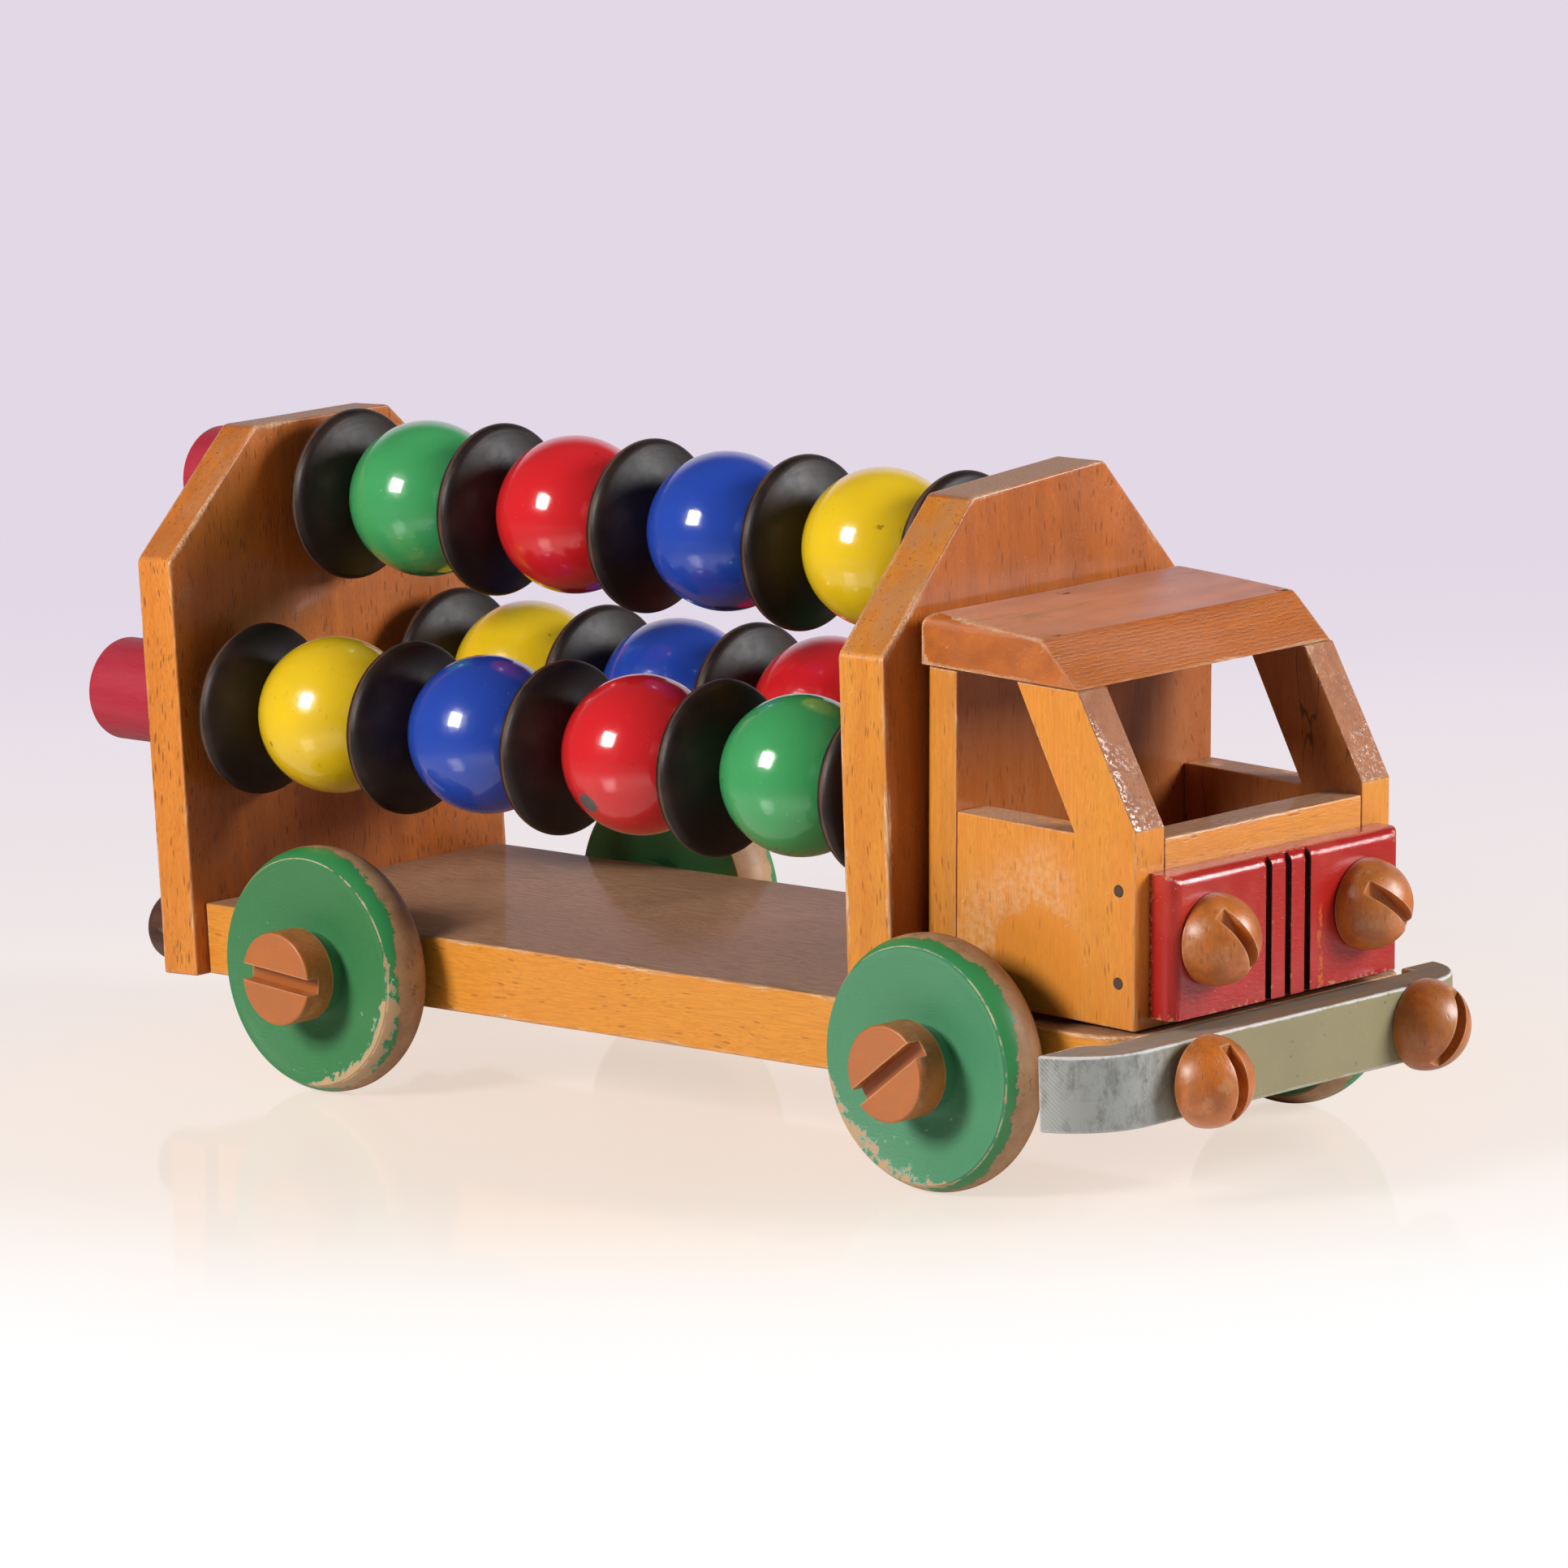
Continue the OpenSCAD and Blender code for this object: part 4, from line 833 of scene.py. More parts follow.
def outer_edges(mesh, smallest=0.0, sharpest=math.radians(30)):
    """The convex sharp edges, without the rims of holes that are narrower than smallest."""
    sharp = [e for e in mesh.edges if e.is_manifold and e.calc_face_angle_signed(0) > sharpest]
    if smallest == 0:
        return sharp
    home = {}

    def root(v):
        while home.setdefault(v, v) != v:
            v = home[v]
        return v

    for edge in sharp:
        home[root(edge.verts[0])] = root(edge.verts[1])
    groups = {}
    for edge in sharp:
        groups.setdefault(root(edge.verts[0]), []).append(edge)
    kept = []
    for edges in groups.values():
        places = np.array([v.co for e in edges for v in e.verts])
        if (places.max(0) - places.min(0)).max() > smallest:
            kept += edges
    return kept


def slice_mesh(mesh, step):
    """Cuts the faces along an even grid, so that they can carry wear and unevenness."""
    places = np.array([v.co for v in mesh.verts])
    low, high = places.min(0), places.max(0)
    for axis in range(3):
        count = int((high[axis] - low[axis]) / step)
        direction = Vector([float(axis == k) for k in range(3)])
        for k in range(1, count):
            place = low + (high - low) * k / count
            bmesh.ops.bisect_plane(mesh, geom=mesh.verts[:] + mesh.edges[:] + mesh.faces[:],
                                   plane_co=Vector(place), plane_no=direction)


def distance_to_lines(points, starts, ends, block=4000):
    """The distance from each point to the nearest of the straight lines."""
    along = ends - starts
    squared = np.maximum((along ** 2).sum(1), 1e-18)
    found = []
    for first in range(0, len(points), block):
        offset = points[first:first + block, None, :] - starts[None]
        share_along = np.clip((offset * along[None]).sum(2) / squared, 0, 1)
        away = offset - share_along[..., None] * along[None]
        found.append(np.sqrt((away ** 2).sum(2).min(1)))
    return np.concatenate(found)


def write_attribute(mesh, name, values):
    layer = mesh.verts.layers.float.new(name)
    for vertex, value in zip(mesh.verts, values):
        vertex[layer] = float(value)


def make_uneven(mesh, depth, seed, wave=22 * MM):
    """Sinks the faces a little, in soft hollows, and never lifts them."""
    mesh.normal_update()
    shift = Vector((seed * 7.1, seed * 3.3, seed * 5.7))
    sunk = [depth * (0.5 - 0.5 * noise.noise(v.co / wave + shift)) for v in mesh.verts]
    for vertex, amount in zip(mesh.verts, sunk):
        vertex.co -= vertex.normal * amount


def add_piece(name, mesh, materials, smooth_angle=38):
    """Makes an object of a finished mesh, with smooth shading up to an angle."""
    bmesh.ops.recalc_face_normals(mesh, faces=mesh.faces)
    data = bpy.data.meshes.new(name)
    mesh.to_mesh(data)
    mesh.free()
    for material in materials:
        data.materials.append(material)
    data.polygons.foreach_set("use_smooth", [True] * len(data.polygons))
    data.set_sharp_from_angle(angle=math.radians(smooth_angle))
    piece = bpy.data.objects.new(name, data)
    bpy.context.scene.collection.objects.link(piece)
    return piece


def settle(piece, node):
    """The piece stands in for a CAD node, which it hides, and moves with its body."""
    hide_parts(node)
    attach(piece, BODY_OF[node])
    return piece


def dress(node, material, rounding, step, seed, smallest_hole=12 * MM, unevenness=1.0):
    """A copy of a CAD node with rounded, slightly uneven edges that carries an edge distance."""
    shape = looks().shape
    mesh = merged_copy(node)
    edges = outer_edges(mesh, smallest_hole)
    lines = np.array([[v.co for v in e.verts] for e in edges])
    if rounding > 0:
        bmesh.ops.bevel(mesh, geom=edges, offset=rounding, offset_type="OFFSET", segments=3, profile=0.5,
                        affect="EDGES", clamp_overlap=True)
    slice_mesh(mesh, step)
    make_uneven(mesh, shape.unevenness * unevenness, seed)
    points = np.array([v.co for v in mesh.verts])
    write_attribute(mesh, "edge", distance_to_lines(points, lines[:, 0], lines[:, 1]) / MM)
    piece = add_piece(node.replace("_", "-"), mesh, [material])
    weights = piece.modifiers.new("Flat faces", "WEIGHTED_NORMAL")
    weights.keep_sharp = True
    return settle(piece, node)


def end_tree(n, ends, out, geometry):
    """Ends a geometry tree with real geometry in the material that was asked for."""
    real = n.add("GeometryNodeRealizeInstances", {"Geometry": geometry}).outputs[0]
    painted = n.add("GeometryNodeSetMaterial", {"Geometry": real, "Material": ends["Material"]})
    n.feed(out.inputs["Geometry"], painted.outputs[0])


def turned_tree(name):
    """Turns an outline, given as points of radius X and height Z, round the Z axis."""
    tree, n, ends, out = new_group(name, "GeometryNodeTree", [
        ("Outline", "NodeSocketGeometry", None), ("Steps", "NodeSocketInt", 96),
        ("Material", "NodeSocketMaterial", None),
    ], [("Geometry", "NodeSocketGeometry")])
    count = n.add("GeometryNodeAttributeDomainSize",
                  {"Geometry": ends["Outline"]}).outputs["Point Count"]
    grid = n.add("GeometryNodeMeshGrid", {"Vertices X": n.plus(ends["Steps"], 1), "Vertices Y": count})
    index = n.add("GeometryNodeInputIndex").outputs[0]
    row = n.math("MODULO", index, count)
    turn = n.math("DIVIDE", n.times(n.math("FLOOR", n.math("DIVIDE", index, count)), math.tau),
                  ends["Steps"])
    sample = n.add("GeometryNodeSampleIndex", data_type="FLOAT_VECTOR")
    n.feed(sample.inputs["Geometry"], ends["Outline"])
    n.feed(sample.inputs["Value"], n.add("GeometryNodeInputPosition").outputs[0])
    n.feed(sample.inputs["Index"], row)
    outline = n.add("ShaderNodeSeparateXYZ", {0: sample.outputs["Value"]}).outputs
    place = n.combine(n.times(outline["X"], n.math("COSINE", turn)),
                      n.times(outline["X"], n.math("SINE", turn)), outline["Z"])
    turned = n.add("GeometryNodeSetPosition", {"Geometry": grid.outputs["Mesh"], "Position": place})
    closed = n.add("GeometryNodeMergeByDistance", {
        "Geometry": turned.outputs[0], "Distance": MERGE_WITHIN})
    end_tree(n, ends, out, closed.outputs[0])
    return tree


def slotted_tree(name):
    """A turned piece with a driver slot across its top."""
    tree, n, ends, out = new_group(name, "GeometryNodeTree", [
        ("Outline", "NodeSocketGeometry", None), ("Steps", "NodeSocketInt", 96),
        ("Material", "NodeSocketMaterial", None), ("Slot Width", FLOAT, 0.004),
        ("Slot Floor", FLOAT, 0.0), ("Slot Angle", FLOAT, 0.0),
    ], [("Geometry", "NodeSocketGeometry")])
    turned = n.group(once("Turned piece", turned_tree), {
        "Outline": ends["Outline"], "Steps": ends["Steps"], "Material": ends["Material"]})
    tall = 40 * MM
    cutter = n.add("GeometryNodeMeshCube", {"Size": n.combine(tall * 2, ends["Slot Width"], tall)})
    up = n.combine(z=n.plus(ends["Slot Floor"], tall / 2))
    placed = n.add("GeometryNodeTransform", {
        "Geometry": cutter.outputs["Mesh"], "Translation": up, "Rotation": n.combine(z=ends["Slot Angle"])})
    cut = n.add("GeometryNodeMeshBoolean", {"Mesh 1": turned.outputs[0], "Mesh 2": placed.outputs[0]},
                operation="DIFFERENCE")
    end_tree(n, ends, out, cut.outputs[0])
    return tree


def arc(centre, radius, start, end, steps):
    """Points of radius and height on an arc, with angles in degrees from the outward direction."""
    turns = [math.radians(start + (end - start) * k / steps) for k in range(steps + 1)]
    return [(centre[0] + radius * math.cos(a), centre[1] + radius * math.sin(a)) for a in turns]


def spread_out(points, step):
    """Adds points to the long straight stretches of an outline."""
    out = [points[0]]
    for a, b in zip(points, points[1:]):
        count = max(1, math.ceil(math.dist(a, b) / step))
        out += [(a[0] + (b[0] - a[0]) * k / count, a[1] + (b[1] - a[1]) * k / count)
                for k in range(1, count + 1)]
    return out


def turn_outline(name, outline, material, steps, tree="Turned piece", **inputs):
    """Runs a turning tree on an outline and gives its result as a plain mesh."""
    line = bpy.data.meshes.new(name + "-outline")
    line.from_pydata([(r, 0, z) for r, z in outline], [(k, k + 1) for k in range(len(outline) - 1)], [])
    carrier = bpy.data.objects.new(name + "-outline", line)
    bpy.context.scene.collection.objects.link(carrier)
    group = once(tree, {"Turned piece": turned_tree, "Slotted piece": slotted_tree}[tree])
    modifier = carrier.modifiers.new("Turning", "NODES")
    modifier.node_group = group
    values = {"Steps": steps, "Material": material}
    values.update({key.replace("_", " ").title(): value for key, value in inputs.items()})
    for item in group.interface.items_tree:
        if item.item_type == "SOCKET" and item.in_out == "INPUT" and item.name in values:
            modifier[item.identifier] = values[item.name]
    evaluated = carrier.evaluated_get(bpy.context.evaluated_depsgraph_get())
    made = bpy.data.meshes.new_from_object(evaluated)
    carrier.modifiers.remove(modifier)
    bpy.data.objects.remove(carrier)
    mesh = bmesh.new()
    mesh.from_mesh(made)
    bpy.data.meshes.remove(made)
    bpy.data.meshes.remove(line)
    for face in mesh.faces:
        face.material_index = 0
    return mesh


def basis(right, up, out, origin):
    """The matrix that puts a turned piece's X, Y and Z along three directions at a place."""
    columns = Matrix((right, up, out)).transposed().to_4x4()
    return Matrix.Translation(origin) @ columns


WHEEL_STEPS, HEAD_STEPS, TAIL_STEPS = 144, 96, 72
ALONG_X = ((0, 1, 0), (0, 0, 1), (1, 0, 0))
BEHIND = ((0, 0, 1), (0, 1, 0), (-1, 0, 0))
OUTWARDS = {-1: ((1, 0, 0), (0, 0, 1), (0, -1, 0)), 1: ((1, 0, 0), (0, 0, -1), (0, 1, 0))}


def ball_outline(radius, bore, steps=40):
    """A ball with a straight bore, as a closed outline from the top of the bore and back."""
    lean = math.degrees(math.asin(bore / radius))
    height = math.sqrt(radius ** 2 - bore ** 2)
    inside = spread_out([(bore, height), (bore, -height)], 4 * MM)
    return inside + arc((0, 0), radius, lean - 90, 90 - lean, steps)


def disc_outline(radius, bore, thickness, rim, steps=16):
    """A lens that runs smoothly into its rounded rim, as a closed outline from the bore and back."""
    centre = radius - rim
    lean = math.atan(2 * (thickness / 2 - rim) / (centre - bore))
    edge = Vector((centre + rim * math.sin(lean), rim * math.cos(lean)))
    drop = thickness / 2 - edge.y
    front = [(bore + (edge.x - bore) * k / steps, thickness / 2 - drop * (k / steps) ** 2)
             for k in range(steps + 1)]
    back = [(r, -z) for r, z in reversed(front)]
    turn = 90 - math.degrees(lean)
    return front + arc((centre, 0), rim, turn, -turn, 14)[1:-1] + back + [front[0]]


def wheel_outline(radius, total, shape):
    """A wheel from the boss behind it to the hollow in its face, with the rim of its face at height 0."""
    rho, inset, width, rise = shape.tread_radius, shape.tread_inset, shape.wheel_width, shape.hub_rise
    centre = (radius - rho, -inset)
    inner = -math.degrees(math.asin((width - inset) / rho))
    outer = math.degrees(math.asin(inset / rho))
    tread = arc(centre, rho, inner, outer - 3, 34)
    rim = tread[-1]
    face = [(rim[0] - 0.35 * MM, -0.02 * MM), (rim[0] - 1.1 * MM, -0.08 * MM)]
    steps = 12
    run = face[-1][0] - shape.dish_floor
    depth = shape.dish_depth - 0.1 * MM
    hollow = [(face[-1][0] - run * k / steps, face[-1][1] - depth * (k / steps) ** 0.8)
              for k in range(1, steps + 1)]
    back = rise - total
    behind = [(shape.wheel_bore, back), (shape.hub_radius, back), (shape.hub_radius, -width), tread[0]]
    boss = [(shape.hub_radius, hollow[-1][1]), (shape.hub_radius, rise), (shape.wheel_bore, rise),
            behind[0]]
    middle = spread_out([hollow[-1]] + boss, 2 * MM)[1:]
    return spread_out(behind, 2 * MM)[:-1] + tread + face + hollow + middle


def head_outline(radius, head, rounding, shank, reach):
    """A drum head with a rounded rim on a shank, with its outer face at height 0."""
    corner = arc((radius - rounding, -rounding), rounding, 0, 90, 6)
    points = [(0, -reach), (shank, -reach), (shank, -head), (radius, -head)] + corner + [(0, 0)]
    return spread_out(points, 2 * MM)


def dome_outline(radius, foot, shank, reach):
    """A dome on a short foot and a shank, with the dome's middle at height 0."""
    points = [(0, -reach), (shank, -reach), (shank, -foot), (radius, -foot), (radius, 0)]
    return spread_out(points, 2 * MM) + arc((0, 0), radius, 0, 90, 36)[1:]


def turned_piece(node, mesh, place, materials, rims=()):
    """Places a turned mesh and measures how far each point is from its rims, given as (radius, height)."""
    points = np.array([v.co for v in mesh.verts])
    radius = np.hypot(points[:, 0], points[:, 1])
    flat = np.stack([radius, points[:, 2]], 1)
    away = np.full(len(points), FAR_FROM_RIMS)
    for rim in rims:
        away = np.minimum(away, np.hypot(*(flat - np.array(rim)).T))
    write_attribute(mesh, "edge", away / MM)
    write_attribute(mesh, "radius", radius / MM)
    write_attribute(mesh, "inset", -points[:, 2] / MM)
    mesh.transform(place)
    return settle(add_piece(node.replace("_", "-"), mesh, materials), node)


def slotted_piece(node, mesh, place, material, step):
    """Places a slotted mesh, cuts it finely and measures how far each point is from its sharp edges."""
    mesh.transform(place)
    home = place.inverted()
    bmesh.ops.remove_doubles(mesh, verts=mesh.verts, dist=MERGE_WITHIN)
    edges = outer_edges(mesh)
    lines = np.array([[v.co for v in e.verts] for e in edges])
    slice_mesh(mesh, step)
    points = np.array([v.co for v in mesh.verts])
    write_attribute(mesh, "edge", distance_to_lines(points, lines[:, 0], lines[:, 1]) / MM)
    own = [home @ v.co for v in mesh.verts]
    write_attribute(mesh, "radius", [math.hypot(v.x, v.y) / MM for v in own])
    write_attribute(mesh, "inset", [-v.z / MM for v in own])
    return settle(add_piece(node.replace("_", "-"), mesh, [material]), node)


class TruckStep:
    """What the operators below have in common."""
    bl_options = {"REGISTER", "UNDO"}


class TRUCK_OT_bed(TruckStep, bpy.types.Operator):
    """Make the bed board, worn grey-brown on top"""
    bl_idname = "truck.bed"
    bl_label = "Bed"

    def execute(self, context):
        wood, shape = looks().wood, looks().shape
        material = varnished_beech("bed-beech", wood.golden, wood.orange, GRAIN_X, (40, 10, 5), top=1.0,
                                   edge=1.1, flecks=0.3, scuffs=0.35, sides=wood.amber)
        dress("bed", material, shape.board_rounding, shape.grid_step, seed=1)
        return {"FINISHED"}


class TRUCK_OT_boards(TruckStep, bpy.types.Operator):
    """Make the tailboard and the bulkhead"""
    bl_idname = "truck.boards"
    bl_label = "Upright boards"

    def execute(self, context):
        wood, shape = looks().wood, looks().shape
        tail = varnished_beech("tailboard-beech", wood.orange, wood.russet, shift=(12, 40, 0),
                               flecks=0.7, top=0.7, scuffs=0.3, edge=1.2, sides=wood.golden)
        dress("tailboard", tail, shape.board_rounding, shape.grid_step, seed=2)
        front = varnished_beech("bulkhead-beech", wood.orange, wood.russet, shift=(60, 7, 0), flecks=0.5,
                                top=0.9, scuffs=0.45, edge=1.4, sides=wood.amber)
        dress("bulkhead", front, shape.board_rounding, shape.grid_step, seed=3)
        return {"FINISHED"}


class TRUCK_OT_cab(TruckStep, bpy.types.Operator):
    """Make the cab's back, sides, cowl and roof"""
    bl_idname = "truck.cab"
    bl_label = "Cab"

    def rubbed(self, side):
        """The middle of the darker disc in the worn side above the front wheel: painted shadow of the
        wheel, with the worn ring round it.
        """
        low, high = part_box(f"cab_side_{side}")
        return (high.x / MM - 31.5, (low.y if side == "right" else high.y) / MM, low.z / MM + 13.5)

    def execute(self, context):
        wood, shape = looks().wood, looks().shape
        back = varnished_beech("cab-back-beech", wood.brown, wood.russet, shift=(5, 90, 0), flecks=0.4,
                               edge=0.7, sides=wood.amber)
        dress("cab_back_panel", back, shape.panel_rounding, shape.grid_step, seed=4)
        for side, shift in (("right", (30, 20, 8)), ("left", (80, 50, 4))):
            # Inner picks the panel's inner face, which gets painted shade
            inner = 1 if side == "right" else -1
            panel = varnished_beech(f"cab-{side}-beech", wood.amber, wood.golden, shift=shift,
                                    flecks=0.3, edge=0.6, scuffs=0.5, top=0.6, front=wood.pillar,
                                    inner=inner, rubbed=self.rubbed(side), veins=side == "left")
            dress(f"cab_side_{side}", panel, shape.panel_rounding, shape.grid_step, seed=5)
        cowl = varnished_beech("cowl-beech", wood.amber, wood.golden, GRAIN_Y, (9, 9, 30), edge=0.9,
                               top=0.8, flecks=0.35)
        dress("cab_cowl", cowl, shape.panel_rounding, shape.grid_step, seed=7)
        roof = varnished_beech("roof-beech", wood.orange, wood.russet, GRAIN_Y, (15, 60, 2), edge=1.0,
                               flecks=0.1, top=0.15, scuffs=0.3, ripple=True)
        dress("cab_roof", roof, shape.panel_rounding, shape.grid_step, seed=8)
        return {"FINISHED"}


class TRUCK_OT_grille(TruckStep, bpy.types.Operator):
    """Make the red grille plate, with painted shade in its grooves"""
    bl_idname = "truck.grille"
    bl_label = "Grille plate"

    def execute(self, context):
        shape = looks().shape
        piece = dress("grille_plate", grille_paint("grille-red"), 0.35 * MM, shape.fine_step, seed=9,
                      unevenness=1.2)
        # The groove walls and floor take the painted shade
        piece.data.materials.append(painted_groove_shade("groove-painted-shade"))
        grooved_half = 10 * MM
        groove_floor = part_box("grille_plate")[1].x - 2.6 * MM
        for face in piece.data.polygons:
            wall = abs(face.normal.y) > 0.9
            floor = face.normal.x > 0.9 and face.center.x < groove_floor
            if abs(face.center.y) < grooved_half and (wall or floor):
                face.material_index = 1
        return {"FINISHED"}


class TRUCK_OT_bumper(TruckStep, bpy.types.Operator):
    """Make the grey bumper"""
    bl_idname = "truck.bumper"
    bl_label = "Bumper"

    def execute(self, context):
        shape = looks().shape
        dress("bumper", bumper_paint("bumper-grey"), shape.board_rounding, shape.fine_step, seed=10)
        return {"FINISHED"}


class TRUCK_OT_wheels(TruckStep, bpy.types.Operator):
    """Turn the four wheels and their bolts"""
    bl_idname = "truck.wheels"
    bl_label = "Wheels and bolts"

    # In degrees: how far each bolt's slot is turned, and where each wheel's rim is chipped most
    slots = {"rear_right": -5, "rear_left": 12, "front_right": 36, "front_left": 70}
    chips = {"rear_right": -40, "rear_left": 80, "front_right": 238, "front_left": 150}

    def execute(self, context):
        wood, paint, shape = looks().wood, looks().paint, looks().shape
        bolt_wood = turned_wood("bolt-wood", wood.turned, wood.orange, GRAIN_X, (3, 8, 20),
                                wood.end_grain)
        for axle in AXLES:
            green = paint.wheel_front if axle == "front" else paint.wheel_rear
            for side, sign in SIDES.items():
                place = f"{axle}_{side}"
                shift = (11 * sign, 5, 30 if axle == "front" else 70)
                low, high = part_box(f"wheel_{place}")
                centre = (low + high) / 2 / MM
                spread = 5.0 if place == "front_left" else 0.0
                finish = wheel_paint(f"wheel-{axle}-{side}-green", green, centre, self.chips[place],
                                     spread, shift)
                self.wheel(f"wheel_{place}", sign, finish, shape)
                self.bolt(f"wheel_bolt_{place}", sign, self.slots[place], bolt_wood, shape)
        return {"FINISHED"}

    def wheel(self, node, sign, material, shape):
        low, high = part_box(node)
        radius = (high.z - low.z) / 2
        rim = max(abs(low.y), abs(high.y)) - shape.hub_rise
        outer = Vector(((low.x + high.x) / 2, sign * rim, (low.z + high.z) / 2))
        outline = wheel_outline(radius, high.y - low.y, shape)
        mesh = turn_outline(node, outline, material, WHEEL_STEPS)
        corner = max((p for p in outline if p[1] > -0.5 * MM), key=lambda p: p[0])
        turned_piece(node, mesh, basis(*OUTWARDS[sign], outer), [material], [corner])

    def bolt(self, node, sign, turn, material, shape):
        low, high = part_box(node)
        outer = Vector(((low.x + high.x) / 2, high.y if sign > 0 else low.y, (low.z + high.z) / 2))
        radius, reach = (high.x - low.x) / 2, high.y - low.y
        outline = head_outline(radius, shape.bolt_head, 0.7 * MM, shape.bolt_shank, reach)
        mesh = turn_outline(node, outline, material, HEAD_STEPS, "Slotted piece",
                            slot_width=shape.bolt_slot, slot_floor=-shape.bolt_slot_depth,
                            slot_angle=math.radians(turn))
        slotted_piece(node, mesh, basis(*OUTWARDS[sign], outer), material, shape.fine_step)


class TRUCK_OT_screws(TruckStep, bpy.types.Operator):
    """Turn the domed screws of the headlights and the bumper, and the tail screws"""
    bl_idname = "truck.screws"
    bl_label = "Wooden screws"

    # How far each screw's slot is turned, in degrees
    domes = {"headlight_screw_right": -57, "headlight_screw_left": -40, "bumper_screw_right": 93,
             "bumper_screw_left": 67}
    tails = {"tail_screw_right": 20, "tail_screw_left": 75}

    def execute(self, context):
        wood, shape = looks().wood, looks().shape
        for k, (node, turn) in enumerate(self.domes.items()):
            finish = turned_wood(node.replace("_", "-") + "-wood", wood.turned, wood.orange, GRAIN_UP,
                                 (17 * k, 9, 3), gloss=0.34)
            self.dome(node, turn, finish, shape)
        stain = turned_wood("tail-screw-stain", wood.stained, wood.dark, GRAIN_X, gloss=0.42, coat=0.1)
        for node, turn in self.tails.items():
            low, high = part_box(node)
            radius, reach = (high.z - low.z) / 2, high.x - low.x
            outer = Vector((low.x, (low.y + high.y) / 2, (low.z + high.z) / 2))
            outline = head_outline(radius, shape.tail_head, radius / 3, shape.screw_shank, reach)
            mesh = turn_outline(node, outline, stain, TAIL_STEPS, "Slotted piece",
                                slot_width=shape.dome_slot, slot_floor=-shape.tail_slot_depth,
                                slot_angle=math.radians(turn))
            slotted_piece(node, mesh, basis(*BEHIND, outer), stain, shape.fine_step)
        return {"FINISHED"}

    def dome(self, node, turn, material, shape):
        low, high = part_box(node)
        radius = (high.y - low.y) / 2
        lip = math.sqrt(radius ** 2 - (shape.dome_slot / 2) ** 2)
        middle = Vector((high.x - lip, (low.y + high.y) / 2, low.z + radius))
        outline = dome_outline(radius, shape.dome_foot, shape.screw_shank, middle.x - low.x)
        floor = shape.dome_slot_floor - shape.dome_foot
        mesh = turn_outline(node, outline, material, HEAD_STEPS, "Slotted piece",
                            slot_width=shape.dome_slot, slot_floor=floor, slot_angle=math.radians(turn))
        place = basis(*ALONG_X, middle)
        if node.startswith("headlight"):
            place = Matrix.Translation(middle) @ Matrix.Rotation(shape.cab_pitch, 4, "Y") @ basis(
                *ALONG_X, Vector())
        slotted_piece(node, mesh, place, material, shape.fine_step)


class TRUCK_OT_rods(TruckStep, bpy.types.Operator):
    """Turn the three bead rods with their crimson heads"""
    bl_idname = "truck.rods"
    bl_label = "Bead rods"

    def execute(self, context):
        wood, shape = looks().wood, looks().shape
        bare = turned_wood("rod-beech", wood.golden, wood.orange, GRAIN_X)
        for k, row in enumerate(ROWS):
            node = f"{row}_bead_rod"
            low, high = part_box(node)
            head = shape.upper_head if row == "upper" else shape.lower_head
            radius = (high.z - low.z) / 2
            outline = head_outline(radius, head, shape.head_rounding, shape.rod_radius, high.x - low.x)
            stain = rod_stain(f"{row}-head-crimson", (5, 12 * k, 9 * k))
            mesh = turn_outline(node, outline, stain, HEAD_STEPS)
            outer = Vector((low.x, (low.y + high.y) / 2, (low.z + high.z) / 2))
            for face in mesh.faces:
                if face.calc_center_median().z < -head - 0.1 * MM:
                    face.material_index = 1
            turned_piece(node, mesh, basis(*BEHIND, outer), [stain, bare],
                         [(radius - 0.6 * MM, -0.6 * MM)])
        return {"FINISHED"}


class TRUCK_OT_beads(TruckStep, bpy.types.Operator):
    """Turn the balls and the discs of the three rows"""
    bl_idname = "truck.beads"
    bl_label = "Balls and discs"

    def execute(self, context):
        paint, shape = looks().paint, looks().shape
        chipped = "right_ball_3_red"
        low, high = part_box(chipped)
        chip_place = (low + high) / 2 / MM + Vector((-2.5, -17.0, -10.0))
        finishes = {"yellow": lacquer("ball-yellow", paint.yellow, 0.8),
                    "blue": lacquer("ball-blue", paint.blue, 0.25),
                    "red": lacquer("ball-red", paint.red, 0.1),
                    "green": lacquer("ball-green", paint.green, 0.2)}
        chipped_red = lacquer("ball-red-chipped", paint.red, 0.1, [(chip_place, 3.4, CHIP_BLACK)])
        stain = disc_stain("disc-stain")
        for node in sorted(frame["nodes"]):
            if "_ball_" in node:
                finish = chipped_red if node == chipped else finishes[node.rsplit("_", 1)[1]]
                self.ball(node, finish, shape)
            elif "_disc_" in node:
                self.disc(node, stain, shape)
        return {"FINISHED"}

    def ball(self, node, finish, shape):
        low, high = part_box(node)
        radius = (high.z - low.z) / 2
        bore = math.sqrt(radius ** 2 - ((high.x - low.x) / 2) ** 2)
        mesh = turn_outline(node, ball_outline(radius, bore), finish, shape.ball_steps)
        turned_piece(node, mesh, basis(*ALONG_X, (low + high) / 2), [finish])

    def disc(self, node, finish, shape):
        low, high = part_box(node)
        radius = (high.z - low.z) / 2
        bore = shape.rod_radius + 1.15 * MM
        mesh = turn_outline(node, disc_outline(radius, bore, high.x - low.x, shape.disc_rim), finish,
                            shape.ball_steps)
        turned_piece(node, mesh, basis(*ALONG_X, (low + high) / 2), [finish], [(radius, 0)])


class TRUCK_OT_nails(TruckStep, bpy.types.Operator):
    """Give the nails their darkened steel"""
    bl_idname = "truck.nails"
    bl_label = "Nails"

    def execute(self, context):
        steel = nail_steel("nail-steel")
        for node in ("bulkhead_nails", "cab_floor_nails", "cab_side_nails", "roof_nails"):
            nails = frame["nodes"][node]
            nails.data.materials.clear()
            nails.data.materials.append(steel)
        return {"FINISHED"}


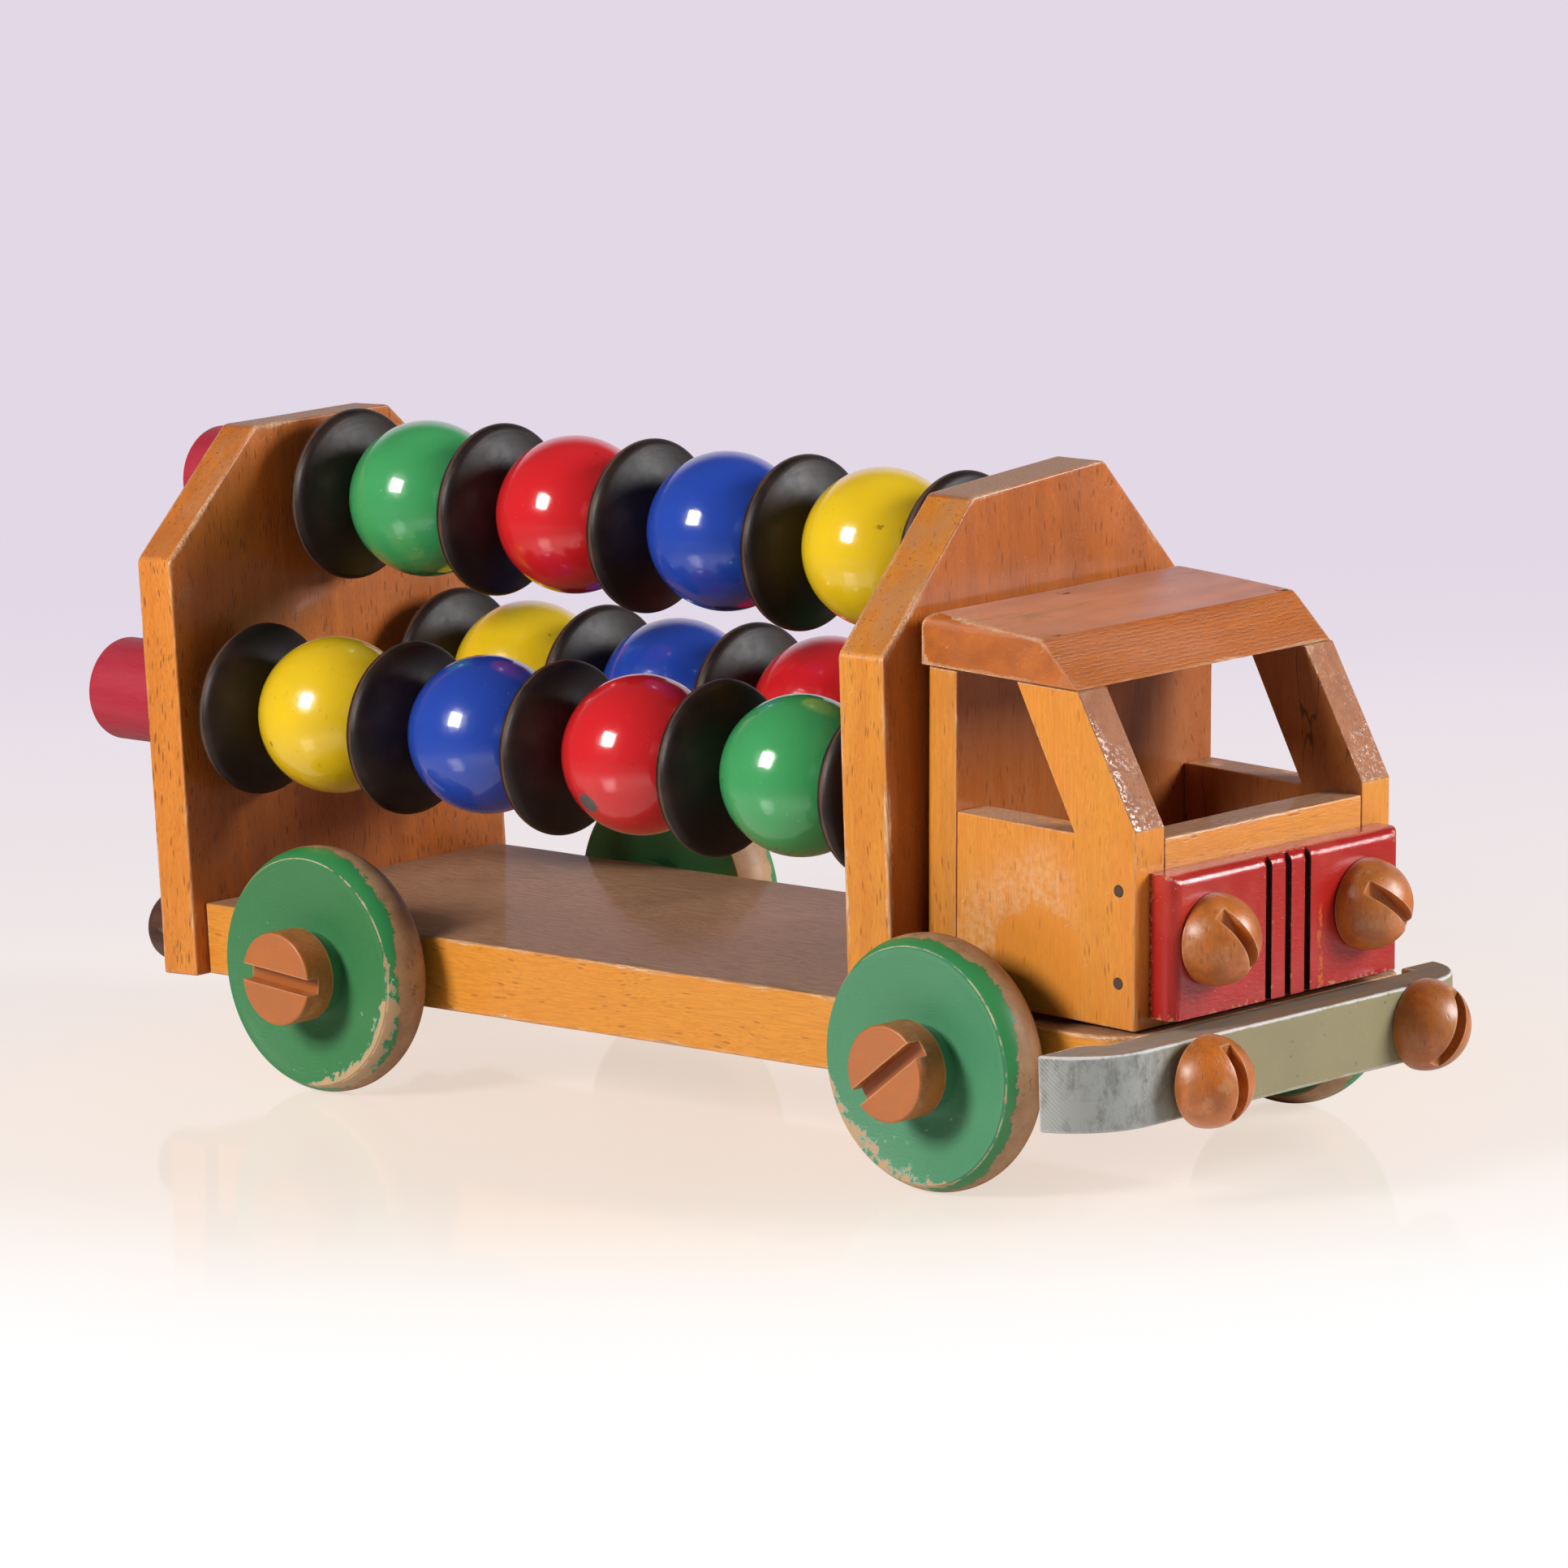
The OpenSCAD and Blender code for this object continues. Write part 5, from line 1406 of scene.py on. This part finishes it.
def toward_viewer(azimuth, elevation):
    """The direction from the truck to a viewer, where azimuth 0 is straight from the right side."""
    across = math.cos(elevation)
    return Vector((math.sin(azimuth) * across, -math.cos(azimuth) * across, math.sin(elevation)))


def round_table(stage):
    """A pale round table top with painted warm light round the truck, fading to the backdrop at its far
    edge.
    """
    mesh = bmesh.new()
    bmesh.ops.create_circle(mesh, cap_ends=True, segments=256, radius=stage.table_radius)
    table = add_piece("table", mesh, [])
    f = Finish("table-top")
    n = f.n
    near = n.measure("DOT_PRODUCT", f.plain, (math.sin(stage.azimuth), -math.cos(stage.azimuth), 0))
    away = n.measure("LENGTH", f.plain)
    sheen = n.mix(n.mask(near, -900.0, 60.0), stage.backdrop, stage.table)
    sheen = n.mix(n.mask(near, 60.0, 250.0), sheen, (1, 1, 1))
    # Warm cream round the truck: painted warm light on the table
    sheen = n.mix(n.mask(away, 330.0, 60.0), sheen, stage.glow)
    shader = n.add("ShaderNodeBsdfPrincipled", {
        "Base Color": stage.table, "Roughness": 0.06, "Specular IOR Level": 0.4})
    sheer = n.add("ShaderNodeEmission", {"Color": sheen, "Strength": 1.0})
    path = n.add("ShaderNodeLightPath").outputs
    seen = n.times(path["Is Camera Ray"],
                   n.between(n.math("MAXIMUM", n.mask(near, 120.0, 260.0), n.mask(near, -250.0, -600.0)),
                             stage.table_glow, 1.0))
    mixed = n.add("ShaderNodeMixShader", {0: seen, 1: shader.outputs[0], 2: sheer.outputs[0]})
    # Seen in reflections, the table away from the truck turns dark: a painted dark reflection
    far = n.times(path["Is Glossy Ray"], n.mask(away, 170.0, 420.0))
    painted_dark_reflection = n.add("ShaderNodeEmission", {"Color": [stage.dark_room] * 3, "Strength": 1.0})
    mixed = n.add("ShaderNodeMixShader", {0: n.times(far, 0.85), 1: mixed.outputs[0], 2: painted_dark_reflection.outputs[0]})
    below = n.times(path["Is Camera Ray"], n.add("ShaderNodeNewGeometry").outputs["Backfacing"])
    clear = n.add("ShaderNodeBsdfTransparent")
    mixed = n.add("ShaderNodeMixShader", {0: below, 1: mixed.outputs[0], 2: clear.outputs[0]})
    n.add("ShaderNodeOutputMaterial", {"Surface": mixed.outputs[0]})
    table.data.materials.append(f.material)


def lamp(name, size, power, azimuth, elevation, distance, shade):
    """A square area lamp that looks at the truck from an azimuth and elevation in degrees."""
    data = bpy.data.lights.new(name, "AREA")
    data.shape = "SQUARE"
    data.size = size
    data.energy = power
    data.color = shade
    back = toward_viewer(math.radians(azimuth), math.radians(elevation))
    light = bpy.data.objects.new(name, data)
    light.location = Vector((0, 0, 0.08)) + back * distance
    light.rotation_euler = back.to_track_quat("Z", "Y").to_euler()
    bpy.context.scene.collection.objects.link(light)


class TRUCK_OT_stage(TruckStep, bpy.types.Operator):
    """Set up the camera, the lamps, the backdrop and the table"""
    bl_idname = "truck.stage"
    bl_label = "Stage"

    def execute(self, context):
        stage = looks().stage
        context.scene.view_settings.view_transform = "Standard"
        self.camera(context.scene, stage)
        round_table(stage)
        lamp("key", size=0.4, power=stage.key_power, azimuth=-10, elevation=26, distance=1.3,
             shade=(1.0, 0.985, 0.96))
        lamp("side", size=0.5, power=stage.side_power, azimuth=124, elevation=21, distance=1.3,
             shade=(0.98, 0.985, 1.0))
        self.backdrop(context.scene, stage)
        return {"FINISHED"}

    def camera(self, scene, stage):
        back = toward_viewer(stage.azimuth, stage.elevation)
        level = Vector((math.cos(stage.azimuth), math.sin(stage.azimuth), 0))
        upright = back.cross(level)
        right = level * math.cos(stage.roll) + upright * math.sin(stage.roll)
        data = bpy.data.cameras.new("camera")
        data.lens = stage.lens
        data.sensor_width = 36
        data.clip_start, data.clip_end = 0.1, 20
        camera = bpy.data.objects.new("camera", data)
        eye = Vector(stage.aim) + back * stage.distance
        camera.matrix_world = basis(right, back.cross(right), back, eye)
        scene.collection.objects.link(camera)
        scene.camera = camera

    def backdrop(self, scene, stage):
        world = bpy.data.worlds.new("backdrop")
        world.use_nodes = True
        world.node_tree.nodes.clear()
        n = Nodes(world.node_tree)
        path = n.add("ShaderNodeLightPath").outputs
        mirrored = n.math("MAXIMUM", path["Is Glossy Ray"], path["Is Transmission Ray"])
        seen = n.math("MAXIMUM", path["Is Camera Ray"], mirrored)
        ahead = -toward_viewer(stage.azimuth, stage.elevation)
        direction = n.add("ShaderNodeTexCoord").outputs["Generated"]
        facing = n.measure("DOT_PRODUCT", direction, ahead)
        screen = n.mix(n.math("MAXIMUM", path["Is Camera Ray"], n.mask(facing, 0.55, 0.85)),
                       [stage.dark_room] * 3, stage.backdrop)
        pale = n.add("ShaderNodeBackground", {"Color": screen, "Strength": 1.0})
        soft = n.add("ShaderNodeBackground", {"Color": (0.97, 0.97, 1.0), "Strength": stage.ambient})
        mixed = n.add("ShaderNodeMixShader", {0: seen, 1: soft.outputs[0], 2: pale.outputs[0]})
        n.add("ShaderNodeOutputWorld", {"Surface": mixed.outputs[0]})
        scene.world = world


class TRUCK_PT_looks(bpy.types.Panel):
    """Lists the steps and the settings"""
    bl_label = "Toy truck"
    bl_idname = "TRUCK_PT_looks"
    bl_space_type = "VIEW_3D"
    bl_region_type = "UI"
    bl_category = "Toy truck"

    def draw(self, context):
        for step in STEPS:
            self.layout.operator(step.bl_idname)
        settings = context.scene.truck_looks
        for group in ("wood", "paint", "shape", "wear", "stage"):
            box = self.layout.box()
            box.label(text=group.title())
            chosen = getattr(settings, group)
            for name in chosen.__annotations__:
                box.prop(chosen, name)


STEPS = (TRUCK_OT_stage, TRUCK_OT_bed, TRUCK_OT_boards, TRUCK_OT_cab, TRUCK_OT_grille, TRUCK_OT_bumper,
         TRUCK_OT_wheels, TRUCK_OT_screws, TRUCK_OT_rods, TRUCK_OT_beads, TRUCK_OT_nails)
CLASSES = (TruckWoodColours, TruckPaintColours, TruckShape, TruckWear, TruckStage, TruckLooks, *STEPS,
           TRUCK_PT_looks)


def register():
    for each in CLASSES:
        bpy.utils.register_class(each)
    bpy.types.Scene.truck_looks = PointerProperty(
        type=TruckLooks, name="Toy truck looks", description="Sizes and colours of the truck's finish")


def unregister():
    del bpy.types.Scene.truck_looks
    for each in reversed(CLASSES):
        bpy.utils.unregister_class(each)


def main():
    register()
    for step in STEPS:
        group, name = step.bl_idname.split(".")
        getattr(getattr(bpy.ops, group), name)()


if __name__ == "__main__":
    main()
